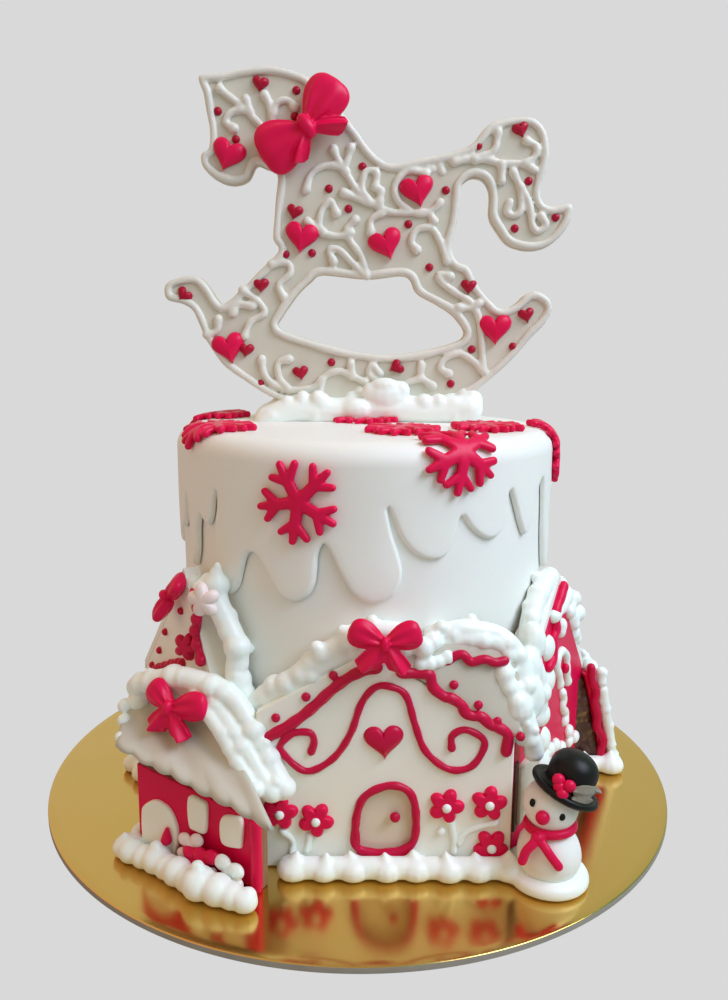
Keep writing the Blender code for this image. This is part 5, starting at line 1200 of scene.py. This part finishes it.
rightDecor = {  # on the wall, in mm across and up
    "strip": ((9, 103.5), (4.1, 98.7), (-0.9, 93.9), (0.3, 86.2), (-2.9, 82.2), (-1.7, 74.5), (-7.1, 71.1)),
    "stripDrop": (18, 62.2),
    "ring": ((11, 57), (9.5, 61), (5.5, 66.5), (5.5, 71), (11.4, 72.5), (18.5, 68.5), (20.5, 63),
             (21.5, 58.5), (23.6, 54)),
    "squiggle": ((15.8, 51), (18, 47.5), (17.0, 44), (19.6, 41), (23.0, 38.5), (21.8, 34.6)),
    "drops": (((16.5, 98.5), (13.2, 95.5), (8.5, 94.0), (4.8, 93.9), (-2.3, 92.8)), ((8.6, 85.9), (7.8, 83)),
              ((20.8, 88.8), (22.5, 90.5))),
    # lumps of snow with their radius
    "lumps": ((27.0, 93.4, 4.2), (29.6, 80.3, 3.4), (35.4, 84.1, 4.4)),
    "side": ((-8, 80, 6.2), (-5.5, 64.5, 6.8), (-10, 50, 5.5), (-8, 37.5, 6.2), (-7, 26, 6.6)),
    "foot": ((0.5, 29.7), (8, 28.5), (18.1, 22.9), (29.2, 26.8), (30.2, 21.2), (40.5, 19.1)),
    "panel": ((-41.6, 14), (-19.7, 14), (-19.7, 39), (-41.6, 39)),
    # a very dark plate where there is only shadow: painted shadow in the gap beside the wall
    "shadowGap": ((-44.6, 12), (-41.2, 12), (-41.2, 42), (-44.6, 42)),
}


def makeRightHouse(plan, decor):  # the red house with its drops, strip, side panel and a dark plate that paints the shadow in the gap beside it
    lines = [strokes([decor["ring"], decor["squiggle"]], 2.2, 2.6, 1.3, 90),
             strokes([ring(-6, 8, 8, 29)], 1.5, 1.5, 1.1, 91), beads(decor["foot"], 0.8, (3.6, 2.4, 3.2))]
    place, snow = makeSideHouse("right", plan, redFondant, 80, lines)
    lumps = balls([(x, 0.0, z) for x, z, r in decor["lumps"]], [(r, r, r) for x, z, r in decor["lumps"]],
                  8, 14)
    side = balls([(x, 1.0, z) for x, z, r in decor["side"]], [(r, 4.2, r) for x, z, r in decor["side"]],
                 8, 14)
    snow += [inMetres(lumps), inMetres(side), strokes(decor["drops"], 3.0, 3.4, 1.0, 93)]
    # the side panel's darker cream is partly painted shade
    for part, look, deep, slot in (("panel", shadedCreamFondant, 2.2, "cream_icing"),
                                   # the dark plate paints the gap's shadow
                                   ("shadowGap", shadeDarkBrown, 1.0, "gingerbread")):
        plate = cutOut("right" + part, np.array(decor[part], float) * mm, (deep + 0.6) * mm, 0.0005)
        plate.transform(at(place, (0, -deep, 0)))
        piece("right" + part.title(), plate, look, 40, slot=slot)
    melted("rightSnow", together(snow, place), 0.7, 6, pipedIcing, "right_snow")
    strip = [strokes([decor["strip"]], 2.6, 2.8, 1.6, 92), beads([decor["stripDrop"]], 1.0, (2.0, 1.8, 2.6))]
    melted("rightStrip", together(strip, place), 0.5, 1, redFondant)


makeLeftHouse(village["left"], leftDecor)
makeRightHouse(village["right"], rightDecor)
behind = (("backRight", floodIcing), ("back", redIcing), ("backLeft", floodIcing))
for count, (name, look) in enumerate(behind):
    seed = 110 + 20 * count
    place, snow = makeSideHouse(name, village[name], look, seed, plainPiping(village[name], seed))
    melted(name + "Snow", together(snow, place), 0.8, 6, pipedIcing, village[name]["node"] + "_snow")
for name, house in village.items():
    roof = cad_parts[house["node"] + "_roof"]
    roof.data.materials.clear()
    # the front roof takes the darker cream, which is partly painted shade
    roof.data.materials.append(shadedCreamFondant if name == "front" else whiteFondant)
print("side houses made")

# cottage on the front left, mm in its own frame

cottage = {
    "turn": -26.8, "out": 0.1144, "shift": -0.0159, "half": 30.4, "high": (38, 28.5), "biscuit": 4.6,
    "roof": ((-36, -6, 45.8), (41.5, -7.5, 31.0), (-14, 24.5, 66), (-50, 19, 57.5)), "roofThickness": 3.8,
    "door": ((-27.5, 16.8), (-26.3, 21.1), (-20.7, 25.1), (-15.4, 24.6), (-11.6, 21.7), (-9.2, 16.2),
             (-8.8, 9.5), (-9.6, 5.9), (-10.4, 1.5), (-26.6, 1.5), (-27.6, 9)),
    "windows": (((-2.9, 31.2), (-3.0, 19.0), (0.5, 17.2), (3.6, 17.0), (5.5, 18.7), (6.1, 29.3),
                 (3.5, 31.4)),
                ((12.1, 22.2), (13.7, 27.3), (18.5, 28.6), (22.8, 28.0), (22.5, 17.6), (20.7, 15.7),
                 (13.4, 15.5))),
    # petals as (across, up, radius) in mm: pale pink, red, white
    "petals": (((-3.5, 13.8, 2.5), (2.5, 15.0, 2.5), (-4.7, 7.3, 2.3), (-0.6, 12.6, 2.2)),
               ((-0.2, 9.8, 2.7), (4.9, 10.2, 2.8), (10.5, 10.8, 2.8), (0.9, 5.1, 2.6), (6.0, 7.6, 2.6)),
               ((15.7, 10.1, 3.0), (21.9, 8.2, 3.0), (21.5, 2.6, 3.0), (18.4, 6.4, 2.6))),
    "beads": ((7.2, 5.9), (11.2, 4.9)),
    "redDot": (15.8, 4.1),
    "knob": (((-12.8, -3.6, 15.2), 0.9), ((-12.9, -3.8, 13.4), 1.6), ((-13.0, -4.0, 10.8), 2.4)),
    # the snow's three lines over the top and down the right edge
    "snow": (((-38.1, 12, 67.1), (-25.6, 12, 71.3), (-16.6, 12, 73.9), (-7.9, 12, 74.0), (1.0, 13, 72.6),
              (8.6, 13.5, 68.8), (14.6, 13.5, 62.8), (19.6, 13, 56.2), (24.6, 12.5, 49.0), (29.6, 12, 42.2),
              (33.4, 11, 37.8)),
             ((-36.5, 15, 64.5), (-25, 15, 68.0), (-14.5, 14.5, 70), (-5.5, 13.5, 69.2), (2.0, 11.5, 66.2),
              (8.4, 10, 61.0), (14.4, 9.0, 55.4), (20.0, 8.5, 49.3), (25.4, 8.0, 42.6), (30.5, 7.5, 37.5)),
             ((-6, 8.5, 68.0), (1.0, 7.5, 63.6), (7.4, 6.4, 58.4), (13.4, 5.4, 52.0), (19.4, 4.4, 45.4),
              (25.4, 3.0, 39.0))),
    "snowRadii": (5.6, 5.4, 4.2),
    "lumps": (((-42, 14, 64), (4.4, 4.4, 4.6)), ((-39, 12, 58.5), (4.6, 4.2, 4.2)),
              ((-36.5, -2, 49), (3.0, 3.0, 2.8)), ((-40.5, 4.5, 53), (3.2, 3.4, 3.0)),
              ((-44, 9, 57), (3.4, 3.6, 3.2)), ((-12, 16, 66), (12, 6, 6))),
    "bow": {"loops": ((14.0, 11.5, 32), (17.5, 12, 12)), "tails": ((9.0, 13.0, 36), (8.4, 14.5, 33)),
            "deep": 7.5, "knot": (4.0, 6.5)},
    "bowAt": ((-15.2, 4.5, 64.1), (-12, "X")),
}


def bentPanel(quad, thickness, rows=26, columns=60, scallops=8, sag=1.2):
    # a leaning panel: between four corners, its lower edge waved, thinned to nothing round its edge
    a, b, c, d = (np.array(q, float) for q in quad)  # lower left, lower right, upper right, upper left
    u = np.linspace(0, 1, columns)[None, :, None]
    v = np.linspace(0, 1, rows)[:, None, None]
    wave = 1.6 * np.abs(np.sin(np.pi * scallops * u)) * (1 - v) ** 6
    flat = (a + (b - a) * u) * (1 - v) + (d + (c - d) * u) * v
    normal = np.cross(b - a, d - a)
    normal /= np.linalg.norm(normal)
    down = (a - d) / np.linalg.norm(a - d)
    flat = flat + down * wave - normal * sag * np.sin(np.pi * u) * np.sin(np.pi * v) * 0.5
    flat = flat + normal * 0.42 * np.sin(u * 19 + v * 7)
    edge = np.minimum(np.minimum(u, 1 - u) * columns / 3.0, np.minimum(v, 1 - v) * rows / 2.2)
    full = np.sqrt(np.clip(1 - (1 - np.clip(edge, 0, 1)) ** 2, 0, 1))
    top = flat + normal * thickness * (0.5 + 0.5 * full)
    low = flat + normal * thickness * (0.5 - 0.5 * full)
    verts = np.concatenate([top.reshape(-1, 3), low.reshape(-1, 3)])
    grid = gridFaces(rows, columns, False)
    return verts, [grid, grid[:, ::-1] + rows * columns]


def plaque(outline, steps, pitch):  # a flat pane of icing on the wall's face
    thick = 0.0026
    shape = cutOut("plaque", smoothLine(outline, pitch, True, steps) * mm, thick, 0.0010)
    shape.transform(Matrix.Translation((0, -thick, 0)))
    return arrays(shape)


def makeCottage(plan):  # a coated biscuit wall under a leaning roof, with panes, petals, snow and a bow
    place = standAt(plan)
    half, (high, low) = plan["half"], plan["high"]
    corners = np.array([(-half, 0), (half, 0), (half, low), (-half, high)]) * mm
    slab = cutOut("cottageBiscuit", corners, plan["biscuit"] * mm, 0.0006)
    slab.transform(place)
    piece("cottageBiscuit", slab, gingerbread, 35)
    coat = cutOut("cottageCoat", corners, 0.0030, 0.0008)
    coat.transform(Matrix.Translation((0, -0.0006, 0)))
    outline = np.array([(0, 0), (19, 0), (19, high - 4), (0, high - 0.5)]) * mm
    side = cutOut("cottageSide", outline, 0.0032, 0.0006)
    turned = Matrix.Rotation(math.pi / 2, 4, "Z")
    side.transform(Matrix.Translation((-half * mm + 0.0032, 0.0012, 0)) @ turned)
    piece("cottageWall", together([arrays(coat), arrays(side)], place), redFondant, 35, "cottage_wall")
    panes = [plaque(plan["door"], 6, 0.8)] + [plaque(window, 5, 0.7) for window in plan["windows"]]
    piece("cottagePlaques", together(panes, place), floodIcing, 40)
    kinds = (("Pink", blushIcing, -4.0, ()), ("Red", redFondant, -5.2, ("cottage_flower_1",)),
             ("White", pipedIcing, -5.2, ("cottage_flower_2",)))
    for petals, (word, look, y, nodes) in zip(plan["petals"], kinds):
        radii = [(r * 1.25, r * 0.75, r * 1.12) for x, z, r in petals]
        blob = balls([(x, y, z) for x, z, r in petals], radii, 9, 16)
        melted(f"cottageFlower{word}", moved(inMetres(blob), place), 0.35, 3, look, *nodes)
    piece("cottageBeads", moved(beads(plan["beads"], 5.8, (1.9, 1.7, 1.9)), place), pipedIcing, 0)
    path, widths = (np.array(part) * mm for part in zip(*plan["knob"]))
    knob = sweep(path, widths, None, (0, 1, 0), 14)
    dot = beads([plan["redDot"]], 8.0, (1.9, 1.7, 1.9))
    piece("cottageKnob", together([knob, dot], place), redFondant, 0)
    edge = [(half - 1.8, -1.0, 1.0), (half - 1.8, -1.0, 14), (half - 1.8, -1.0, low - 1)]
    piece("cottageEdge", moved(pipedLine(edge, 0.9, 2.5, 2.2, (0, -1, 0), 14), place), redFondant, 0)
    roof = inMetres(bentPanel(plan["roof"], plan["roofThickness"]))
    mesh = newMesh("cottageRoof", moved(roof, place))
    joinSeams(mesh)
    # the roof's darker, greyer cream is partly painted shade
    piece("cottageRoof", mesh, shadedCreamFondant, 0, "cottage_roof")
    parts = [snowLumps(path, radius, 41 + i, 6.5, 0.5)
             for i, (path, radius) in enumerate(zip(plan["snow"], plan["snowRadii"]))]
    parts.append(inMetres(balls(*zip(*plan["lumps"]))))
    melted("cottageSnow", together(parts, place), 0.6, 8, pipedIcing, "cottage_snow")
    makeBow("cottageBow", plan["bow"], at(place, *plan["bowAt"]), "cottage_bow")


makeCottage(cottage)
print("cottage made")

# small open house on the right

shed = {
    "turn": 96, "out": 0.1245, "shift": 0.0067, "half": 27.5, "tall": 49, "lean": 12,
    # mm in its own frame, across from the near edge
    "nearSnow": ((0.5, 8.3, 50.5), (0, 7.3, 42), (0, 5.2, 31), (0, 2.4, 18), (0, 0.6, 8), (0, 0.0, 3)),
    "redEdge": ((-0.4, 13.9, 53.5), (-0.6, 13.2, 46.6), (-0.6, 10.8, 41), (-0.6, 11.4, 36.0),
                (-0.6, 9.4, 29.0), (-0.6, 9.2, 22), (-0.6, 5.6, 16), (-0.6, 6.4, 9), (-0.6, 5.0, 2)),
    # piping on the wall's face, mm across and up
    "door": ((-18, 8), (-18, 24), (-10, 30), (-2, 24), (-2, 8), (-18, 8)),
    "window": (((8, 16), (8, 28), (19, 28), (19, 16), (8, 16)), ((13.5, 16), (13.5, 28))),
}


def makeShed(plan):  # a wall that leans back, dark brown lumps behind it whose darkness is partly painted shade, and snow on its edges
    place = standAt(plan)
    half, tall, lean = plan["half"], plan["tall"], plan["lean"]
    slope = Matrix(((1, 0, 0, 0), (0, 1, lean / tall, 0), (0, 0, 1, 0), (0, 0, 0, 1)))
    outline = np.array([(-half, 0), (half, 0), (half, tall), (-half, tall)]) * mm
    front = cutOut("shedFront", outline, 0.0045, 0.0010)
    front.transform(place @ slope)
    piece("shedFront", front, redFondant, 35, "shed_wall")
    draw = np.random.default_rng(71)
    spots = []  # dark brown lumps in rows behind the wall, darkened with painted shade
    for z in np.arange(2.5, 48, 4.6):
        near = 7.5 + (lean * z / tall)
        for y in (near, near + 4.2, 20.5):
            spots += [(x, y, z) for x in np.arange(-half + 4, half - 3, 5.2)]
    spots = np.array(spots) + draw.uniform(-0.8, 0.8, (len(spots), 3))
    block = balls(spots * mm, draw.uniform(3.2, 4.4, (len(spots), 1)) * mm)
    melted("shedBody", moved(block, place), 0.8, 2, shadeDarkBrown, "shed_body")
    near = [(x - half, y, z) for x, y, z in plan["nearSnow"]]
    far = [(half, lean * part - 4.0, tall * part) for part in (0.05, 0.3, 0.55, 0.8, 1.0)]
    over = [(x, lean - 1.0, tall + 1.5) for x in (-half + 7, -half / 2 + 3, 0, half / 2, half)]
    snow = [snowLumps(near, 3.2, 72, 5.0, 0.4), snowLumps(far, 3.7, 73, 5.6, 0.5),
            snowLumps(over, 4.0, 74, 6.0, 0.8)]
    edge = pipedLine([(x - half, y, z) for x, y, z in plan["redEdge"]], 0.8, 2.15, 2.2, (-1, 0, 0))
    piece("shedRedEdge", moved(edge, place), redIcing, 0)
    melted("shedSnow", together(snow, place), 0.65, 4, pipedIcing, "shed_snow")
    lines = [strokes([plan["door"]], 1.4, 1.4, 1.0, 75), strokes(plan["window"], 1.2, 1.3, 1.0, 76)]
    piece("shedPiping", together(lines, place @ slope), pipedIcing, 0)


makeShed(shed)
print("shed made")

# snowman

snowman = {
    "place": (0.0762, -0.0995), "puddleTop": 0.0052, "hatAt": ((5, 0, 33.5), (24, "Y")),
    # the profiles as (radius, height) in mm; the hat's stands on its own middle
    "body": ((0, 0.2), (10.2, 0.2), (11.8, 1.6), (12.6, 4.6), (12.4, 8.2), (11.2, 12.0), (9.4, 15.0),
             (7.6, 17.2), (7.2, 18.6), (8.3, 20.2), (9.9, 22.6), (10.7, 25.8), (10.6, 28.8), (9.4, 32.0),
             (7.0, 34.4), (3.6, 35.8), (0, 36.2)),
    "hat": ((0, -1.2), (11.3, -1.5), (12.6, -1.4), (13.6, -0.6), (13.9, 0.5), (13.3, 1.4), (12.0, 1.5),
            (10.4, 1.0), (9.4, 1.6), (9.1, 2.8), (9.5, 5.6), (9.5, 8.8), (8.6, 11.8), (6.4, 14.2),
            (3.4, 15.5), (0, 16.0)),
    "puddle": ((0, -0.4), (15.0, -0.4), (16.0, 0.6), (16.0, 2.6), (15.0, 4.4), (12.6, 5.4), (8, 5.6),
               (0, 5.6)),
    "nose": (((-5.4, -9.9, 26.6), (2.8, 2.5, 2.8)),),
    "eyes": (((-8.7, -6.1, 30.6), (1.15, 0.9, 1.7)), ((1.9, -10.4, 27.2), (1.25, 0.9, 1.5))),
    "berries": ((-7.8, -9.0, 5.6), (-3.6, -10.6, 5.6), (-4.8, -11.0, 1.6), (-6.4, -9.6, 3.4)),
    "leaves": ((4.6, -7, 1.22), (1.4, 7, 1.20)),  # how high on the hat, own turn in degrees, size
    # the scarf: its ring's radius and height, its knot, and two ends, each with half its width
    "ring": (9.0, 18.4), "knot": (-6.6, -9.0, 17.6),
    "scarf": ((((-6.5, -8.6, 18.0), (-8.8, -10.4, 15.8), (-11.2, -10.6, 13.0), (-12.6, -10.8, 9.0)), 1.9),
              (((-6.5, -9.0, 17.6), (-4.0, -12.0, 14.8), (-1.8, -13.0, 11.8), (0.9, -13.2, 8.2)), 1.8)),
}


def turnedProfile(profile, steps, columns, centre=(0, 0, 0)):  # a smooth round shape from a few points in mm
    return turnedShape(curveThrough(profile, steps) * mm, columns, centre)


def leafShape(up, size):  # a pointed leaf that wraps round the hat, with a fold down its middle
    rows, columns = 25, 11
    u = np.linspace(0, 1, rows)[:, None]
    t = np.linspace(-1, 1, columns)[None]
    half = 2.5 * size * np.sin(np.pi * u**0.75) ** 0.8
    x = -1.0 + 11.0 * u * size + 0 * t
    wrap = -np.sqrt(np.clip(10.6**2 - x**2, 20, None)) - 0.7
    y = wrap + 0.6 * np.abs(t) ** 0.7 * (half > 0.3) - 0.15 * np.cos(u * 40) * np.abs(t)
    front = np.stack([x, y, up + half * t], axis=-1).reshape(-1, 3)
    return np.concatenate([front, front + (0, 0.9, 0)]) * mm, slabFaces(rows, columns)


def makeSnowman(plan):  # turned body and hat, with balls, leaves and a scarf swept round the neck
    foot = Matrix.Translation((*plan["place"], table["boardTop"] + plan["puddleTop"]))
    hatPlace = at(foot, *plan["hatAt"])
    body = turnedProfile(plan["body"], 5, 72)
    fixOutside(piece("snowmanBody", moved(body, foot), whiteFondant, 60, "snowman"))
    for name, look in (("nose", redFondant), ("eyes", blackFondant)):
        centres, radii = zip(*plan[name])
        piece("snowman" + name.title(), moved(inMetres(balls(centres, radii, 12, 20)), foot), look, 0)
    hat = turnedProfile(plan["hat"], 5, 96)
    fixOutside(piece("snowmanHat", moved(hat, hatPlace), blackFondant, 60, "snowman_hat"))
    berries = inMetres(balls(plan["berries"], (2.5, 2.0, 2.4), 12, 20))
    piece("snowmanBerries", moved(berries, hatPlace), redFondant, 0)
    leaves = [moved(leafShape(up, size), Matrix.Rotation(math.radians(lean), 4, "Y"))
              for up, lean, size in plan["leaves"]]
    fixOutside(piece("snowmanLeaf", together(leaves, hatPlace), leafPaste, 50))
    turn = 2 * np.pi * np.arange(48) / 48
    radius, up = plan["ring"]
    loop = np.stack([radius * np.sin(turn), -radius * np.cos(turn), up + 0.5 * np.sin(turn + 0.5)], axis=1)
    scarf = [sweep(loop * mm, 1.7 * mm, 1.9 * mm, (0, 0, 1), 14, True)]
    scarf += [pipedLine(path, 0.7, half, 1.3, (0, -1, 0.3), 14) for path, half in plan["scarf"]]
    scarf.append(inMetres(balls([plan["knot"]], (2.8, 2.4, 2.4), 12, 20)))
    melted("snowmanScarf", together(scarf, foot), 0.35, 2, redFondant, "snowman_scarf")


makeSnowman(snowman)
print("snowman made")

# snow on the board round the village

footSnow = {  # mm from the board's middle, heights from its top
    "off": 5.6,  # how far the line runs outside the walls
    # lumps before the cottage, with their radius
    "heaps": ((-92.3, -90.0, 4.6), (-86.3, -93.6, 4.4), (-80.3, -96.6, 5.2), (-75.2, -100.6, 4.6),
              (-70.4, -104.4, 5.2), (-65.2, -108.4, 4.8), (-60.3, -112.6, 6.0), (-52.6, -116.0, 5.5),
              (-46.6, -118.6, 4.6)),
    "peaks": ((-60.8, -112.0, 11.6), (-80.6, -96.0, 9.6)),
    # the block at the cottage's corner
    "block": (((-41.6, -121.0, 3.6), (5.2, 4.6, 4.8)), ((-40.4, -120.5, 5.2), (3.6, 3.6, 3.8)),
              ((-43.1, -121.0, 5.0), (3.4, 3.6, 3.4))),
}


def linePoint(plan, along, off):  # a point on the board, along a wall and out from it, in mm
    way = math.radians(plan["turn"])
    out, shift = plan["out"] / mm + off, plan["shift"] / mm + along
    return (table["cakeX"] / mm + out * math.sin(way) + shift * math.cos(way),
            -out * math.cos(way) + shift * math.sin(way), boardTop)


def makeFootSnow(plan):
    # three piped lines, the heaps before the cottage and the snowman's puddle in one skin
    off = plan["off"]
    beside = [linePoint(village["left"], -50, off), linePoint(village["left"], -6, off),
              linePoint(cottage, -36, -22), (-94, -86, boardTop)]
    before = [linePoint(cottage, 36.4, -12.5), linePoint(village["front"], 50, off)]
    behind = [linePoint(village["right"], -46, off), linePoint(village["right"], 46, off),
              linePoint(shed, -31, 0.5), linePoint(shed, 24, 0.5)]
    for name, start, end in (("backRight", 4, 50), ("back", -50, 50), ("backLeft", -52, 52)):
        behind += [linePoint(village[name], start, off), linePoint(village[name], end, off)]
    behind.append(linePoint(village["left"], -50, off))
    parts = [shells(beside, 6.0, 81, 12.0), shells(before, 6.3, 82, 12.5, 0.72),
             shells(behind, 6.0, 83, 13.0)]
    heaps = plan["heaps"]
    rope = evenly([(x, y, boardTop) for x, y, r in heaps], 2.5) * mm + (0, 0, 0.0034)
    parts.append(sweep(rope, 4.0 * mm, 4.2 * mm))
    parts.append(inMetres(balls([(x, y, boardTop + r * 0.86) for x, y, r in heaps],
                                [(r * 1.18, r * 1.18, r * 1.12) for x, y, r in heaps], 9, 16)))
    parts.append(inMetres(balls(onBoard(plan["peaks"]), (2.8, 2.6, 2.8), 9, 16)))
    centres, radii = zip(*plan["block"])
    parts.append(inMetres(balls(onBoard(centres), radii)))
    parts.append(turnedProfile(snowman["puddle"], 4, 72, (*snowman["place"], table["boardTop"])))
    whole = gather(parts)
    whole[0][:, 2] = np.maximum(whole[0][:, 2], table["boardTop"] + 0.0001)
    melted("footSnow", whole, 0.8, 4, pipedIcing, "foot_snow")


makeFootSnow(footSnow)
print("foot snow made")

# camera, light and ground

shot = {"place": (0.0017, -0.407, 0.211), "down": 10.18, "roll": 0.48, "lens": 30.6}
# name, place, size, power and colour of each lamp
lamps = (("windowLight", (0.90, -0.35, 1.10), 0.8, 13.5, "#ebecff"),
         ("frontWindowLight", (0.70, -0.75, 0.90), 0.6, 4.8, "#cbdaff"))
# what the camera sees, the paper's own grey and glow, and the room's colours left, right and behind
ground = {"seen": "#d9d9d9", "grey": "#707070", "glow": 0.25, "left": (0.86, 0.52, 0.36, 1),
          "right": (0.12, 0.34, 0.22, 1), "behind": (0.66, 0.69, 0.59, 1)}


def makeCamera(plan):  # where the picture is taken from
    data = bpy.data.cameras.new("shotCamera")
    data.sensor_fit = "VERTICAL"
    data.sensor_height = 36
    data.lens = plan["lens"]
    data.clip_start = 0.01
    camera = bpy.data.objects.new("shotCamera", data)
    scene.collection.objects.link(camera)
    place = Matrix.Translation(plan["place"])
    camera.matrix_world = at(place, (0, 0, 0), (90 - plan["down"], "X"), (plan["roll"], "Z"))
    scene.camera = camera


def makeLight(name, place, size, power, colour):  # a round lamp that looks at the middle of the cake
    data = bpy.data.lights.new(name, "AREA")
    data.shape = "DISK"
    data.size = size
    data.energy = power
    data.color = linear(colour)[:3]
    made = bpy.data.objects.new(name, data)
    made.location = place
    made.rotation_euler = (Vector((0, 0, 0.14)) - Vector(place)).to_track_quat("-Z", "Y").to_euler()
    scene.collection.objects.link(made)


def makeGround(plan):
    # the camera sees one even pale grey, while the part is lit by a room of other colours
    far = 30.0
    floor = newMesh("paleFloor", (np.array([(-far, -far, 0), (far, -far, 0), (far, far, 0), (-far, far, 0)]),
                                  [np.array([[0, 1, 2, 3]])]))
    look = bpy.data.materials.new("palePaper")
    look.use_nodes = True
    tree = look.node_tree
    shader = tree.nodes["Principled BSDF"]
    shader.inputs["Base Color"].default_value = linear(plan["grey"])
    shader.inputs["Roughness"].default_value = 1.0
    shader.inputs["Specular IOR Level"].default_value = 0.0
    shader.inputs["Emission Color"].default_value = (1, 1, 1, 1)
    shader.inputs["Emission Strength"].default_value = plan["glow"]
    path = addNode(tree, "ShaderNodeLightPath")
    even = addNode(tree, "ShaderNodeEmission", {"Color": linear(plan["seen"])})
    either = addNode(tree, "ShaderNodeMixShader", {}, {0: path.outputs["Is Camera Ray"], 1: shader.outputs[0],
                                                       2: even.outputs[0]})
    tree.links.new(either.outputs[0], tree.nodes["Material Output"].inputs["Surface"])
    floor.materials.append(look)
    made = bpy.data.objects.new("paleFloor", floor)
    scene.collection.objects.link(made)
    world = bpy.data.worlds.new("softRoom")
    world.use_nodes = True
    tree = world.node_tree
    background = tree.nodes["Background"]
    where = addNode(tree, "ShaderNodeTexCoord")
    axes = addNode(tree, "ShaderNodeSeparateXYZ", {}, {"Vector": where.outputs["Generated"]})
    side = addNode(tree, "ShaderNodeMapRange", {"From Min": -0.9, "From Max": 0.7},
                   {"Value": axes.outputs["X"]})
    tint = addNode(tree, "ShaderNodeMix", {"data_type": "RGBA"}, {0: side.outputs["Result"]})
    tint.inputs[6].default_value = plan["left"]
    tint.inputs[7].default_value = plan["right"]
    rear = addNode(tree, "ShaderNodeMapRange", {"From Min": 0.35, "From Max": 0.95},
                   {"Value": axes.outputs["Y"]})
    mixed = addNode(tree, "ShaderNodeMix", {"data_type": "RGBA"},
                    {0: rear.outputs["Result"], 6: tint.outputs[2]})
    mixed.inputs[7].default_value = plan["behind"]
    path = addNode(tree, "ShaderNodeLightPath")
    shown = addNode(tree, "ShaderNodeMix", {"data_type": "RGBA"},
                    {0: path.outputs["Is Camera Ray"], 6: mixed.outputs[2]})
    shown.inputs[7].default_value = linear(plan["seen"])
    tree.links.new(shown.outputs[2], background.inputs["Color"])
    scene.world = world


makeCamera(shot)
for lamp in lamps:
    makeLight(*lamp)
makeGround(ground)

bpy.context.view_layer.update()


print("scene finished")
